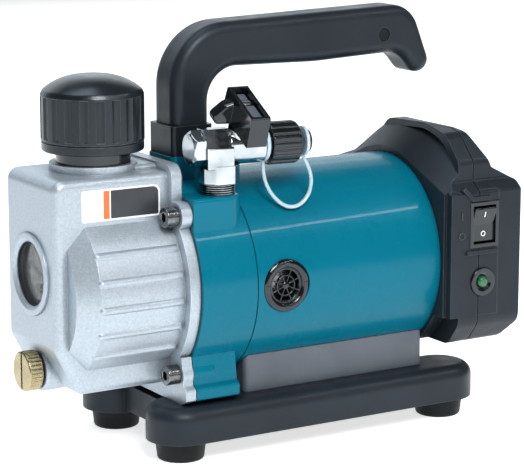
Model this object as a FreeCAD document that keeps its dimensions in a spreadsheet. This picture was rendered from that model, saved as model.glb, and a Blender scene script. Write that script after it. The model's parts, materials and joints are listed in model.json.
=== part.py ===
"""Portable vacuum pump: an oil-filled rotary vane pump driven by a tube-shaped motor.

Frame: X runs along the motor axis (the oil casing is at -X, the battery bay at +X),
+Z is up and the origin lies on the ground, in the middle of the whole machine.
"""
import FreeCAD, Part
import math
import os
import re
import Sketcher

Vector = FreeCAD.Vector
Rotation = FreeCAD.Rotation

# Driving dimensions in millimetres, as spreadsheet rows.
SIZES = {
    # Motor line
    "axis_height": 85.1,
    "cover_radius": 52.3,
    "cover_wall": 2.5,
    "cover_front": -26.1,
    "cover_rear": 86.8,
    "vent_place": -9.1,
    "vent_radius": 13.3,
    # Oil casing
    "casing_front": -124.6,
    "casing_half_width": 27.5,
    "casing_bottom": 37.0,
    "casing_top": 144.0,
    "casing_wall": 5.0,
    "chamfer_height": 60.4,
    "chamfer_run": 12.2,
    "bulge_front": -118.3,
    "bulge_nose": 37.4,
    "bulge_slope": 9.7,
    "bulge_radius": 45.0,
    "rib_count": 5,
    "rib_step": 17.0,
    "rib_centre": -3.6,
    "flange_thick": 5.5,
    "flange_radius": 50.5,
    "flange_half_width": 32.0,
    "flange_bottom": 29.0,
    "flange_top": 147.5,
    "ear_radius": 6.7,
    "bolt_side": 36.0,
    "bolt_upper": 123.0,
    "bolt_lower": 43.5,
    "gasket_thick": 0.5,
    # Sight glass and drain
    "glass_height": 94.6,
    "glass_window": 16.0,
    "glass_ring": 20.6,
    "drain_height": 46.0,
    "drain_face": -130.7,
    "drain_radius": 10.0,
    # Filler neck and exhaust cap
    "cap_place": -89.5,
    "cap_radius": 25.6,
    "cap_foot": 153.6,
    "cap_ring_top": 158.4,
    "cap_rim": 182.3,
    "cap_apex": 190.7,
    "cap_flutes": 20,
    "neck_radius": 18.6,
    "neck_foot": 147.6,
    "neck_top": 164.0,
    "neck_boss": 21.8,
    # Bracket between pump and motor
    "bracket_front": -57.0,
    "bracket_wall": 8.0,
    "seal_radius": 13.0,
    "port_place": -37.3,
    "port_side": -32.0,
    "port_top": 131.5,
    # Vane pump
    "stator_radius": 31.0,
    "chamber_radius": 21.0,
    "chamber_offset": 3.0,
    "rotor_radius": 17.95,
    "rotor_length": 27.8,
    "plate_thick": 8.0,
    "shaft_radius": 5.0,
    "vane_thick": 3.0,
    "vane_depth": 11.0,
    # Base
    "foot_front": -60.5,
    "foot_rear": 96.9,
    "foot_track": 34.6,
    "foot_bottom": 11.7,
    "foot_top": 13.0,
    "foot_height": 10.6,
    "skid_radius": 17.5,
    "skid_top": 28.6,
    "web_top": 26.5,
    "skirt": 3.2,
    "cradle_front": -24.3,
    "cradle_rear": 84.6,
    "cradle_half_width": 37.0,
    # Rear housing
    "housing_front": 84.6,
    "housing_seam": 104.0,
    "housing_rear": 130.7,
    "housing_half_width": 59.3,
    "housing_bottom": 41.5,
    "housing_top": 155.4,
    "housing_wall": 3.0,
    "lip_front": 94.7,
    "lip_depth": 3.4,
    "lip_wall": 3.2,
    "flare_front": 86.0,
    "low_front": 91.5,
    "pad_front": 86.3,
    "pad_rear": 116.4,
    "pad_low": 57.3,
    "pad_high": 122.6,
    "bay_front": 112.0,
    "bay_half_width": 39.0,
    "bay_floor": 60.0,
    "rocker_place": 107.2,
    "rocker_height": 105.6,
    "led_place": 106.6,
    "led_height": 75.2,
    # Handle
    "post_front": -49.8,
    "post_rear": -28.9,
    "collar_bottom": 147.8,
    "collar_top": 163.0,
    "grip_top": 216.9,
    "grip_width": 23.0,
    "grip_end": 106.7,
    # Inlet valve
    "valve_height": 154.6,
    "valve_yaw": -6.0,
    "spindle_tilt": 25.0,
    "spindle_place": 10.7,
    "ball_radius": 6.6,
    "ball_bore": 3.2,
    "lever_low": 11.4,
    "lever_tall": 16.2,
    "lever_width": 10.4,
    "lever_near": 19.8,
    "lever_far": 13.4,
    "lever_recess": 4.0,
    "dust_cap_start": 26.5,
    "dust_cap_length": 18.0,
    "dust_cap_radius": 10.8,
    "groove_width": 3.2,
    "tether_radius": 1.0,
}

ALIAS = re.compile(r"[A-Za-z_][A-Za-z_]*")
TURN = {
    "z": Rotation(),
    "x": Rotation(Vector(0, 1, 0), 90),
    "y": Rotation(Vector(1, 0, 0), -90),
}
NODES = {}

document = FreeCAD.newDocument("vacuum_pump")
sheet = document.addObject("Spreadsheet::Sheet", "sizes")
for row, (alias, number) in enumerate(SIZES.items(), start=1):
    sheet.set("A%d" % row, alias)
    sheet.set("B%d" % row, str(number))
    sheet.setAlias("B%d" % row, alias)
document.recompute()


# ---------------------------------------------------------------- helpers

def formula(text):
    """Turn a formula of plain aliases into one that reads the sheet."""
    return ALIAS.sub(lambda word: "sizes." + word.group() if word.group() in SIZES else word.group(),
                     str(text))


def value(text):
    """The number that a formula of aliases gives now."""
    result = sheet.evalExpression(formula(text))
    return float(getattr(result, "Value", result))


def bind(piece, prop, text):
    piece.setExpression(prop, formula(text))


def place(piece, at, turn=None):
    """Bind a piece's place to three formulas, after turning it."""
    if turn is not None:
        piece.Placement = FreeCAD.Placement(Vector(), turn)
    for axis, text in zip("xyz", at):
        bind(piece, "Placement.Base." + axis, text)
    return piece


def cylinder(name, radius, length, at, along="z"):
    piece = document.addObject("Part::Cylinder", name)
    bind(piece, "Radius", radius)
    bind(piece, "Height", length)
    return place(piece, at, TURN[along])


def cone(name, first_radius, last_radius, length, at, along="z"):
    piece = document.addObject("Part::Cone", name)
    bind(piece, "Radius1", first_radius)
    bind(piece, "Radius2", last_radius)
    bind(piece, "Height", length)
    return place(piece, at, TURN[along])


def ring_bead(name, ring_radius, bead_radius, at, along="z"):
    piece = document.addObject("Part::Torus", name)
    bind(piece, "Radius1", ring_radius)
    bind(piece, "Radius2", bead_radius)
    return place(piece, at, TURN[along])


def box(name, low, high):
    """Box from its lowest to its highest corner."""
    piece = document.addObject("Part::Box", name)
    for prop, first, last in zip(("Length", "Width", "Height"), low, high):
        bind(piece, prop, "(%s) - (%s)" % (last, first))
    return place(piece, low)


def fuse(name, *pieces):
    piece = document.addObject("Part::MultiFuse", name)
    piece.Shapes = list(pieces)
    piece.Refine = True
    return piece


def cut(name, base, *tools):
    piece = document.addObject("Part::Cut", name)
    piece.Base = base
    piece.Tool = tools[0] if len(tools) == 1 else fuse(name + "_tools", *tools)
    return piece


def common(name, first, second):
    piece = document.addObject("Part::Common", name)
    piece.Base = first
    piece.Tool = second
    return piece


def group(name, pieces):
    piece = document.addObject("Part::Compound", name)
    piece.Links = list(pieces)
    return piece


def tube(name, outer, inner, length, at, along="z"):
    return cut(name, cylinder(name + "_outer", outer, length, at, along),
               cylinder(name + "_bore", inner, length, at, along))


def rounded(name, base, radius, wanted):
    """Round the edges of a piece whose middle point passes a test."""
    document.recompute()
    edges = []
    for number, edge in enumerate(base.Shape.Edges, start=1):
        middle = edge.valueAt((edge.FirstParameter + edge.LastParameter) / 2)
        if wanted(middle, edge):
            edges.append((number, radius, radius))
    piece = document.addObject("Part::Fillet", name)
    piece.Base = base
    piece.Edges = edges
    return piece


def copies(name, pattern, places):
    """Linked copies of one piece, each moved by its own offset."""
    document.recompute()
    result = []
    for number, offset in enumerate(places, start=1):
        piece = document.addObject("Part::Compound", "%s_%d" % (name, number))
        piece.Links = [pattern]
        result.append(place(piece, offset))
    return result


def node(label, piece):
    """Name a finished sub-part."""
    piece.Label = label
    NODES[label] = piece
    return piece


def body(name):
    return document.addObject("PartDesign::Body", name)


def origin_plane(owner, role):
    return [item for item in owner.Origin.OriginFeatures if item.Role == role][0]


def sketch(owner, name, role, offset="0"):
    flat = owner.newObject("Sketcher::SketchObject", name)
    flat.AttachmentSupport = (origin_plane(owner, role), [""])
    flat.MapMode = "FlatFace"
    bind(flat, "AttachmentOffset.Base.z", offset)
    return flat


def constrain(flat, kind, *args, text=None):
    """Add a constraint; with a formula its datum follows the sheet."""
    if text is None:
        flat.addConstraint(Sketcher.Constraint(kind, *args))
        return
    number = flat.addConstraint(Sketcher.Constraint(kind, *args, value(text)))
    bind(flat, "Constraints[%d]" % number, text)


def outline(flat, corners):
    """Closed outline of straight sides; a third entry rounds that corner."""
    points = [Vector(value(corner[0]), value(corner[1]), 0) for corner in corners]
    count = len(points)
    arrive, leave, arcs = [], [], []
    for number, corner in enumerate(corners):
        point = points[number]
        back = (points[number - 1] - point).normalize()
        ahead = (points[(number + 1) % count] - point).normalize()
        if len(corner) == 2:
            arrive.append(point)
            leave.append(point)
            arcs.append(None)
            continue
        radius = value(corner[2])
        half = back.getAngle(ahead) / 2
        middle = (back + ahead).normalize()
        arrive.append(point + back * (radius / math.tan(half)))
        leave.append(point + ahead * (radius / math.tan(half)))
        crown = point + middle * (radius / math.sin(half) - radius)
        arcs.append(Part.Arc(arrive[-1], crown, leave[-1]))
    sides = []
    for number in range(count):
        side = Part.LineSegment(leave[number], arrive[(number + 1) % count])
        sides.append(flat.addGeometry(side))
    for number, corner in enumerate(corners):
        before, after = sides[number - 1], sides[number]
        if arcs[number] is None:
            constrain(flat, "Coincident", before, 2, after, 1)
            pin = after
        else:
            arc = flat.addGeometry(arcs[number])
            first_end = (flat.getPoint(arc, 1) - arrive[number]).Length
            ends = (1, 2) if first_end < 1e-6 else (2, 1)
            constrain(flat, "Tangent", before, 2, arc, ends[0])
            constrain(flat, "Tangent", arc, ends[1], after, 1)
            constrain(flat, "Radius", arc, text=corner[2])
            pin = flat.addGeometry(Part.Point(points[number]), True)
            constrain(flat, "PointOnObject", pin, 1, before)
            constrain(flat, "PointOnObject", pin, 1, after)
        constrain(flat, "DistanceX", -1, 1, pin, 1, text=corner[0])
        constrain(flat, "DistanceY", -1, 1, pin, 1, text=corner[1])
    return flat


def circle(flat, across, up, radius):
    """Circle in a sketch, pinned by formulas."""
    middle = Vector(value(across), value(up), 0)
    number = flat.addGeometry(Part.Circle(middle, Vector(0, 0, 1), value(radius)))
    constrain(flat, "Radius", number, text=radius)
    constrain(flat, "DistanceX", -1, 1, number, 3, text=across)
    constrain(flat, "DistanceY", -1, 1, number, 3, text=up)
    return flat


def pad(owner, name, flat, length, midplane=False):
    feature = owner.newObject("PartDesign::Pad", name)
    feature.Profile = flat
    bind(feature, "Length", length)
    feature.Midplane = midplane
    return feature


def pocket(owner, name, flat, length, midplane=False, flip=False):
    feature = owner.newObject("PartDesign::Pocket", name)
    feature.Profile = flat
    bind(feature, "Length", length)
    feature.Midplane = midplane
    feature.Reversed = flip
    return feature


def revolve(owner, name, flat):
    """Turn a sketch about its own upright axis."""
    feature = owner.newObject("PartDesign::Revolution", name)
    feature.Profile = flat
    feature.ReferenceAxis = (flat, ["V_Axis"])
    feature.Angle = 360
    return feature


def repeat(owner, name, feature, role, count):
    """Repeat a feature evenly about one of the body's axes."""
    pattern = owner.newObject("PartDesign::PolarPattern", name)
    pattern.Originals = [feature]
    pattern.Axis = (origin_plane(owner, role), [""])
    pattern.Angle = 360
    bind(pattern, "Occurrences", count)
    owner.Tip = pattern
    return pattern


def turned(name, corners, at, turn=None):
    """Turned piece: a radius and height outline revolved about the body's own Z axis."""
    owner = body(name)
    flat = outline(sketch(owner, name + "_section", "XZ_Plane"), corners)
    revolve(owner, name + "_turned", flat)
    place(owner, at, turn or TURN["z"])
    return owner


def hex_socket_bolt(name, head_radius, head_length, shank_radius, shank_length, socket):
    """Cap screw on its own Z axis: head below zero, shank above."""
    owner = body(name)
    flat = outline(sketch(owner, name + "_section", "XZ_Plane"), [
        ("0", "-(%s)" % head_length),
        (head_radius, "-(%s)" % head_length, "0.6"),
        (head_radius, "0"),
        (shank_radius, "0"),
        (shank_radius, shank_length),
        ("0", shank_length),
    ])
    revolve(owner, name + "_turned", flat)
    recess = sketch(owner, name + "_socket_outline", "XY_Plane", "-(%s)" % head_length)
    corners = []
    for step in range(6):
        angle = math.radians(60 * step)
        corners.append(("(%s) * %.6f" % (socket, math.cos(angle)),
                        "(%s) * %.6f" % (socket, math.sin(angle))))
    outline(recess, corners)
    pocket(owner, name + "_socket", recess, "(%s) * 0.6" % head_length, flip=True)
    return owner


def spokes(name, pattern, angles, at):
    """Copies of a piece drawn about the X axis, each turned by its own angle."""
    result = []
    for number, angle in enumerate(angles, start=1):
        piece = document.addObject("Part::Compound", "%s_%d" % (name, number))
        piece.Links = [pattern]
        result.append(place(piece, at, Rotation(Vector(1, 0, 0), angle)))
    return result


def evenly(count, start=0.0):
    return [start + 360.0 * step / count for step in range(count)]


MOTOR_LINE = ("0", "0", "axis_height")
FEET = [(x, y) for x in ("foot_front", "foot_rear") for y in ("-foot_track", "foot_track")]
CASING_BOLTS = [(y, z) for y in ("-bolt_side", "bolt_side") for z in ("bolt_upper", "bolt_lower")]


# ---------------------------------------------------------------- base

def base_frame():
    """Two hollow skids with round ends, joined by a front and a rear web."""
    skids = []
    hollows = []
    for side, y in (("near", "-foot_track"), ("far", "foot_track")):
        for family, wall, low, high in (("skid", "0", "foot_height", "skid_top"),
                                        ("hollow", "skirt", "foot_height", "skid_top - skirt")):
            name = "%s_%s" % (side, family)
            radius = "skid_radius - %s" % wall
            tall = "(%s) - (%s)" % (high, low)
            solid = fuse(name,
                         cylinder(name + "_nose", radius, tall, ("foot_front", y, low)),
                         cylinder(name + "_tail", radius, tall, ("foot_rear", y, low)),
                         box(name + "_bar", ("foot_front", "(%s) - (%s)" % (y, radius), low),
                             ("foot_rear", "(%s) + (%s)" % (y, radius), high)))
            (skids if family == "skid" else hollows).append(solid)
    top = SIZES["skid_top"]
    skids = [rounded(skid.Name + "_soft", skid, 6.5, lambda point, edge: point.z > top - 0.01)
             for skid in skids]
    webs = [box(name, (start, "-foot_track", "foot_height + 2"), (end, "foot_track", "web_top"))
            for name, start, end in (("front_web", "foot_front - 4", "foot_front + 27"),
                                     ("rear_web", "foot_rear - 30", "foot_rear + 1"))]
    rims = [box(name, (start, "-skid_radius", "foot_height + 1.9"), (end, "skid_radius", "web_top - skirt"))
            for name, start, end in (("front_web_hollow", "foot_front", "foot_front + 23"),
                                     ("rear_web_hollow", "foot_rear - 26", "foot_rear - 3"))]
    bosses = [cylinder("foot_boss_%d" % number, "7", "skid_top - 2 - foot_height", (x, y, "foot_height"))
              for number, (x, y) in enumerate(FEET)]
    holes = [cylinder("foot_pilot_%d" % number, "2.55", "12", (x, y, "foot_height - 0.1"))
             for number, (x, y) in enumerate(FEET)]
    holes += [cylinder("base_pilot_%d" % number, "2.6", "20", (x, y, "foot_height"))
              for number, (x, y) in enumerate(BASE_SCREWS)]
    shell = cut("base_shell", fuse("base_solid", *skids, *webs), *hollows, *rims)
    node("base_frame", cut("base_frame_cut", fuse("base_bossed", shell, *bosses), *holes))


BASE_SCREWS = [(x, y) for x in ("foot_front + 12", "foot_rear - 20") for y in ("-11", "11")]


def feet_and_screws():
    """Four tapered feet with recessed screws, and the four screws that hold the bracket and the cradle."""
    foot = turned("foot_pattern", [
        ("5.2", "0"),
        ("foot_bottom", "0", "1.5"),
        ("foot_top", "foot_height"),
        ("2.6", "foot_height"),
        ("2.6", "5"),
        ("5.2", "5"),
    ], ("0", "0", "0"))
    node("rubber_feet", group("rubber_feet_set", copies("foot", foot, [(x, y, "0") for x, y in FEET])))
    screw = fuse("foot_screw_pattern",
                 cylinder("foot_screw_head", "4.4", "2.6", ("0", "0", "2.4")),
                 cylinder("foot_screw_shank", "2.5", "15", ("0", "0", "5")))
    driven = cut("foot_screw_slotted", screw,
                 box("foot_screw_slot_long", ("-3", "-0.5", "2.3"), ("3", "0.5", "3.6")),
                 box("foot_screw_slot_wide", ("-0.5", "-3", "2.3"), ("0.5", "3", "3.6")))
    foot_screws = copies("foot_screw", driven, [(x, y, "0") for x, y in FEET])
    socket_screw = hex_socket_bolt("web_screw_pattern", "4.2", "4", "2.5", "9", "2")
    web_screws = copies("web_screw", socket_screw, [(x, y, "web_top - skirt") for x, y in BASE_SCREWS])
    node("base_screws", group("base_screws_set", foot_screws + web_screws))


def motor_cradle():
    """Saddle that carries the motor cover on the skids."""
    block = box("cradle_block", ("cradle_front", "-cradle_half_width", "skid_top"),
                ("cradle_rear", "cradle_half_width", "axis_height - 30"))
    soft = rounded("cradle_soft", block, 3.0,
                   lambda point, edge: abs(edge.tangentAt(edge.FirstParameter).z) > 0.9)
    seat = cylinder("cradle_seat", "cover_radius + 0.15", "cradle_rear - cradle_front + 4",
                    ("cradle_front - 2", "0", "axis_height"), "x")
    hollow = box("cradle_hollow", ("cradle_front + 4", "4 - cradle_half_width", "skid_top - 1"),
                 ("foot_rear - 34", "cradle_half_width - 4", "axis_height - cover_radius - 3"))
    screws = [cylinder("cradle_hole_%d" % number, "2.55", "12", (x, y, "skid_top - 6"))
              for number, (x, y) in enumerate(BASE_SCREWS[2:])]
    tongue = box("cradle_tongue", ("foot_rear - 29", "-16.5", "web_top"),
                 ("cradle_rear", "16.5", "skid_top + 1"))
    node("motor_cradle", cut("cradle_cut", fuse("cradle_body", soft, tongue), seat, hollow, *screws))


# ---------------------------------------------------------------- oil casing

def casing_profile(name, wall, rear, half_width):
    """Side outline of the casing, moved in by a wall, padded across the motor axis."""
    owner = body(name)
    slant = "0.42 * (%s)" % wall
    flat = outline(sketch(owner, name + "_side", "XZ_Plane"), [
        ("casing_front + %s" % wall, "chamfer_height + %s" % slant, "6"),
        ("casing_front + %s" % wall, "casing_top - %s" % wall, "6"),
        (rear, "casing_top - %s" % wall),
        (rear, "casing_bottom + %s" % wall),
        ("casing_front + chamfer_run + %s" % slant, "casing_bottom + %s" % wall, "6"),
    ])
    pad(owner, name + "_pad", flat, "2 * (%s)" % half_width, midplane=True)
    return owner


def flange_plate(name, start, thick):
    """Flange outline: upright plate, round body and four bolt ears."""
    owner = body(name + "_upright")
    flat = outline(sketch(owner, name + "_upright_outline", "YZ_Plane", start), [
        ("-flange_half_width", "flange_bottom", "4"),
        ("flange_half_width", "flange_bottom", "4"),
        ("flange_half_width", "flange_top", "7"),
        ("-flange_half_width", "flange_top", "7"),
    ])
    pad(owner, name + "_upright_pad", flat, thick)
    parts = [owner, cylinder(name + "_round", "flange_radius", thick, (start, "0", "axis_height"), "x")]
    for number, (y, z) in enumerate(CASING_BOLTS):
        parts.append(cylinder("%s_ear_%d" % (name, number), "ear_radius", thick, (start, y, z), "x"))
        inner = "flange_half_width - 6"
        low, high = ("-bolt_side", "-(%s)" % inner) if y.startswith("-") else (inner, "bolt_side")
        parts.append(box("%s_arm_%d" % (name, number), (start, low, "%s - ear_radius" % z),
                         ("(%s) + %s" % (start, thick), high, "%s + ear_radius" % z)))
    return fuse(name, *parts)


def foot_plate(name, start, thick):
    """Foot that stands on the skids: sloping sides with a lip along each lower edge."""
    owner = body(name)
    flat = outline(sketch(owner, name + "_outline", "YZ_Plane", start), [
        ("-40", "skid_top"),
        ("40", "skid_top"),
        ("45.3", "skid_top + 2.4", "1"),
        ("45.3", "skid_top + 8", "1.5"),
        ("42.4", "skid_top + 9.6"),
        ("40.6", "skid_top + 24"),
        ("-40.6", "skid_top + 24"),
        ("-42.4", "skid_top + 9.6"),
        ("-45.3", "skid_top + 8", "1.5"),
        ("-45.3", "skid_top + 2.4", "1"),
    ])
    pad(owner, name + "_pad", flat, thick)
    return owner


def casing_cavity(name, rear):
    """Oil chamber: the casing outline moved in by its wall, and the round pump chamber."""
    inside = casing_profile(name + "_box", "casing_wall", rear, "casing_half_width - casing_wall")
    chamber = cylinder(name + "_round", "bulge_radius - casing_wall", "(%s) - bulge_front - 6.3" % rear,
                       ("bulge_front + 6.3", "0", "axis_height"), "x")
    return fuse(name, inside, chamber)


def oil_casing():
    """Cast oil chamber with a round, ribbed bulge on each side and a bolted flange."""
    rear = "bracket_front - gasket_thick"
    block = casing_profile("casing_block", "0", rear, "casing_half_width")
    sides = SIZES["casing_half_width"] - 0.01
    back = SIZES["bracket_front"] - 1
    soft = rounded("casing_soft", block, 4.0,
                   lambda point, edge: abs(point.y) > sides and point.x < back)
    nose = cone("bulge_cone", "bulge_nose", "bulge_radius", "bulge_slope",
                ("bulge_front", "0", "axis_height"), "x")
    barrel = cylinder("bulge_barrel", "bulge_radius", "%s - bulge_front - bulge_slope" % rear,
                      ("bulge_front + bulge_slope", "0", "axis_height"), "x")
    rod = fuse("rib_rod",
               cylinder("rib_bar", "2.2", "43", ("0", "1 - bulge_radius", "0"), "x"),
               rib_end())
    first = SIZES["rib_centre"] - SIZES["rib_step"] * (SIZES["rib_count"] - 1) / 2
    near = [-(first + SIZES["rib_step"] * step) for step in range(int(SIZES["rib_count"]))]
    ribs = spokes("rib", rod, near + [180 - angle for angle in near],
                  ("bulge_front + 11", "0", "axis_height"))
    flange = flange_plate("casing_flange", "%s - flange_thick" % rear, "flange_thick")
    foot = foot_plate("casing_foot", "%s - flange_thick" % rear, "flange_thick")
    neck = cylinder("neck_boss_outer", "neck_boss", "neck_foot - casing_top + 4",
                    ("cap_place", "0", "casing_top - 4"))
    ridge = box("top_ridge", ("cap_place", "-16", "casing_top - 1"),
                ("bracket_front - 3", "16", "casing_top + 2.4"))
    ridge_soft = rounded("top_ridge_soft", ridge, 2.0,
                         lambda point, edge: point.z > SIZES["casing_top"] + 2.3 and abs(point.y) > 15)
    drain_boss = cylinder("drain_boss", "11", "14", ("casing_front + 2.6", "0", "drain_height"), "x")
    drain_soft = rounded("drain_boss_soft", drain_boss, 1.5,
                         lambda point, edge: point.x < SIZES["casing_front"] + 2.7)
    solid = fuse("casing_solid", soft, nose, barrel, *ribs, flange, foot, neck, ridge_soft, drain_soft)
    tools = [
        casing_cavity("casing_inside", "bracket_front + 2"),
        cylinder("window_bore", "glass_window", "casing_wall + 4",
                 ("casing_front - 1", "0", "glass_height"), "x"),
        cylinder("window_seat", "glass_ring + 0.1", "4", ("casing_front - 1", "0", "glass_height"), "x"),
        cylinder("neck_bore", "14", "20", ("cap_place", "0", "casing_top - 12")),
        cylinder("drain_bore", "5.6", "24", ("casing_front - 1", "0", "drain_height"), "x"),
    ]
    tools += [cylinder("casing_bolt_hole_%d" % number, "3.2", "20", ("%s - flange_thick - 4" % rear, y, z),
                       "x")
              for number, (y, z) in enumerate(CASING_BOLTS)]
    node("oil_casing", cut("casing_cut", solid, *tools))


def rib_end():
    ball = document.addObject("Part::Sphere", "rib_ball")
    bind(ball, "Radius", "2.2")
    return place(ball, ("0", "1 - bulge_radius", "0"))


def casing_gasket():
    plate = flange_plate("gasket_plate", "bracket_front - gasket_thick", "gasket_thick")
    holes = [cylinder("gasket_hole_%d" % number, "3.4", "4", ("bracket_front - 2", y, z), "x")
             for number, (y, z) in enumerate(CASING_BOLTS)]
    node("casing_gasket",
         cut("gasket_cut", plate, casing_cavity("gasket_window", "bracket_front + 2"), *holes))


def casing_bolts():
    bolt = hex_socket_bolt("casing_bolt_pattern", "4.9", "7", "3", "16", "2.6")
    start = "bracket_front - gasket_thick - flange_thick"
    bolts = []
    for number, (y, z) in enumerate(CASING_BOLTS):
        piece = document.addObject("Part::Compound", "casing_bolt_%d" % number)
        piece.Links = [bolt]
        bolts.append(place(piece, (start, y, z), TURN["x"]))
    node("casing_bolts", group("casing_bolts_set", bolts))


def sight_glass():
    """Oil window: a flat glass clamped by a turned ring."""
    seat = "casing_front + 3"
    node("sight_glass", cylinder("glass_disc", "19.8", "2.4", ("%s - 2.4" % seat, "0", "glass_height"), "x"))
    ring = turned("glass_ring_turned", [
        ("glass_window", "0"),
        ("glass_ring", "0"),
        ("glass_ring", "2.2", "0.7"),
        ("glass_window + 1.8", "2.2", "0.7"),
        ("glass_window", "0.8"),
    ], ("%s - 2.4" % seat, "0", "glass_height"), Rotation(Vector(0, 1, 0), -90))
    node("sight_glass_ring", ring)


def drain():
    """Slotted, knurled drain plug and its sealing ring."""
    owner = body("drain_plug_body")
    flat = outline(sketch(owner, "drain_plug_section", "XZ_Plane"), [
        ("0", "0"),
        ("drain_radius", "0", "1"),
        ("drain_radius", "7.6", "0.8"),
        ("5.4", "7.6"),
        ("5.4", "19"),
        ("0", "19"),
    ])
    revolve(owner, "drain_plug_turned", flat)
    slot = outline(sketch(owner, "drain_slot_outline", "XY_Plane"), [
        ("-12", "-0.9"), ("12", "-0.9"), ("12", "0.9"), ("-12", "0.9"),
    ])
    pocket(owner, "drain_slot", slot, "2", flip=True)
    groove = circle(sketch(owner, "knurl_outline", "XY_Plane", "0.8"), "drain_radius + 0.55", "0", "1")
    notch = pocket(owner, "knurl_notch", groove, "6.2", flip=True)
    repeat(owner, "knurl", notch, "Z_Axis", "30")
    place(owner, ("drain_face", "0", "drain_height"), TURN["x"])
    node("drain_plug", owner)
    node("drain_seal", tube("drain_seal_ring", "8", "5.5", "0.5",
                            ("casing_front + 2.1", "0", "drain_height"), "x"))


def filler():
    """Filler neck, mist filter and the fluted exhaust cap that screws over the neck."""
    neck = turned("filler_neck_turned", [
        ("10.5", "casing_top - 6"),
        ("13.9", "casing_top - 6"),
        ("13.9", "neck_foot"),
        ("neck_radius", "neck_foot"),
        ("neck_radius", "neck_top", "0.8"),
        ("13.5", "neck_top", "0.8"),
        ("13.5", "neck_foot + 3"),
        ("10.5", "neck_foot + 1"),
    ], ("cap_place", "0", "0"))
    node("filler_neck", neck)
    node("demister_filter", tube("filter_ring", "13.2", "6", "11", ("cap_place", "0", "neck_foot + 3.2")))
    owner = body("exhaust_cap_body")
    flat = outline(sketch(owner, "exhaust_cap_section", "XZ_Plane"), [
        ("0", "cap_apex"),
        ("15", "cap_apex", "30"),
        ("24.6", "cap_rim + 1.2", "3"),
        ("cap_radius", "cap_rim - 1", "0.6"),
        ("cap_radius", "cap_ring_top + 0.4"),
        ("cap_radius - 1.2", "cap_ring_top + 0.4"),
        ("cap_radius - 1.2", "cap_ring_top - 0.4"),
        ("cap_radius - 0.2", "cap_ring_top - 0.4"),
        ("cap_radius - 0.2", "cap_foot", "1"),
        ("neck_radius + 0.4", "cap_foot"),
        ("neck_radius + 0.4", "neck_top + 2.8"),
        ("21.4", "neck_top + 4"),
        ("21.4", "cap_rim - 3", "3"),
        ("0", "cap_apex - 5"),
    ])
    revolve(owner, "exhaust_cap_turned", flat)
    flute = circle(sketch(owner, "flute_outline", "XY_Plane", "cap_ring_top + 1.6"), "cap_radius + 2.5",
                   "0", "3.4")
    groove = pocket(owner, "flute", flute, "cap_rim - cap_ring_top - 3.2", flip=True)
    repeat(owner, "flutes", groove, "Z_Axis", "cap_flutes")
    place(owner, ("cap_place", "0", "0"))
    node("exhaust_cap", owner)
    node("cap_seal", ring_bead("cap_seal_ring", "16.2", "1.1", ("cap_place", "0", "neck_top + 1.15")))


# ---------------------------------------------------------------- bracket and vane pump

def pump_bracket():
    """Cast bracket: carries the pump in front, the motor behind, the handle and the inlet valve on top."""
    depth = "cover_front - bracket_front"
    drum = cylinder("bracket_drum", "cover_radius", depth, ("bracket_front", "0", "axis_height"), "x")
    parts = [drum]
    for number, (y, z) in enumerate(CASING_BOLTS):
        boss = cylinder("bracket_boss_%d" % number, "ear_radius - 0.3", "13", ("bracket_front", y, z), "x")
        parts.append(rounded("bracket_boss_soft_%d" % number, boss, 2.0,
                             lambda point, edge: point.x > SIZES["bracket_front"] + 12.9))
    port = fuse("port_block",
                cylinder("port_round", "11", "port_top - 100", ("port_place", "port_side", "100")),
                box("port_web", ("bracket_front", "port_side - 11", "100"),
                    ("port_place", "port_side + 11", "port_top")))
    port_top = SIZES["port_top"]
    parts.append(rounded("port_soft", port, 2.0,
                         lambda point,
                         edge: point.z > port_top - 0.01 and point.x > SIZES["bracket_front"] + 0.5))
    mount = box("handle_boss", ("post_front - 2.4", "-13", "120"), ("post_rear + 1.2", "13", "collar_bottom"))
    parts.append(rounded("handle_boss_soft", mount, 3.0,
                         lambda point, edge: abs(edge.tangentAt(edge.FirstParameter).z) > 0.9))
    parts.append(foot_plate("bracket_foot", "bracket_front", "24.5"))
    parts.append(box("bracket_tongue", ("bracket_front", "-16.5", "web_top"),
                     ("foot_front + 27", "16.5", "skid_top + 1")))
    tools = [
        cylinder("bracket_inside", "cover_radius - 5", depth,
                 ("bracket_front + bracket_wall", "0", "axis_height"), "x"),
        cylinder("bracket_bore", "seal_radius", "30", ("bracket_front - 2", "0", "axis_height"), "x"),
        cylinder("port_bore", "5", "40", ("port_place", "port_side", "port_top - 22")),
        cylinder("port_thread", "8.25", "10", ("port_place", "port_side", "port_top - 8")),
    ]
    for number, (y, z) in enumerate(CASING_BOLTS):
        tools.append(cylinder("bracket_thread_%d" % number, "3.05", "12.4", ("bracket_front - 2", y, z), "x"))
    for number, (x, y) in enumerate(BASE_SCREWS[:2]):
        tools.append(cylinder("bracket_hole_%d" % number, "2.55", "14", (x, y, "web_top - 2")))
    for number, x in enumerate(HANDLE_BOLTS):
        tools.append(cylinder("handle_hole_%d" % number, "2.6", "30", (x, "0", "collar_bottom - 25")))
    for number, (y, z) in enumerate(PUMP_BOLTS):
        tools.append(cylinder("pump_thread_%d" % number, "2.05", "6.1", ("bracket_front - 0.1", y, z), "x"))
    node("pump_bracket", cut("bracket_cut", fuse("bracket_solid", *parts), *tools))
    node("shaft_seal", tube("seal_ring", "seal_radius - 0.02", "shaft_radius + 1.02", "7",
                            ("bracket_front", "0", "axis_height"), "x"))


PUMP_BOLTS = [("%.3f" % (26.5 * math.cos(math.radians(angle))),
               "axis_height + %.3f" % (26.5 * math.sin(math.radians(angle)))) for angle in (45, 135, 225,
                                                                                            315)]
HANDLE_BOLTS = ["post_front + 5", "post_rear - 5"]


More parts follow.
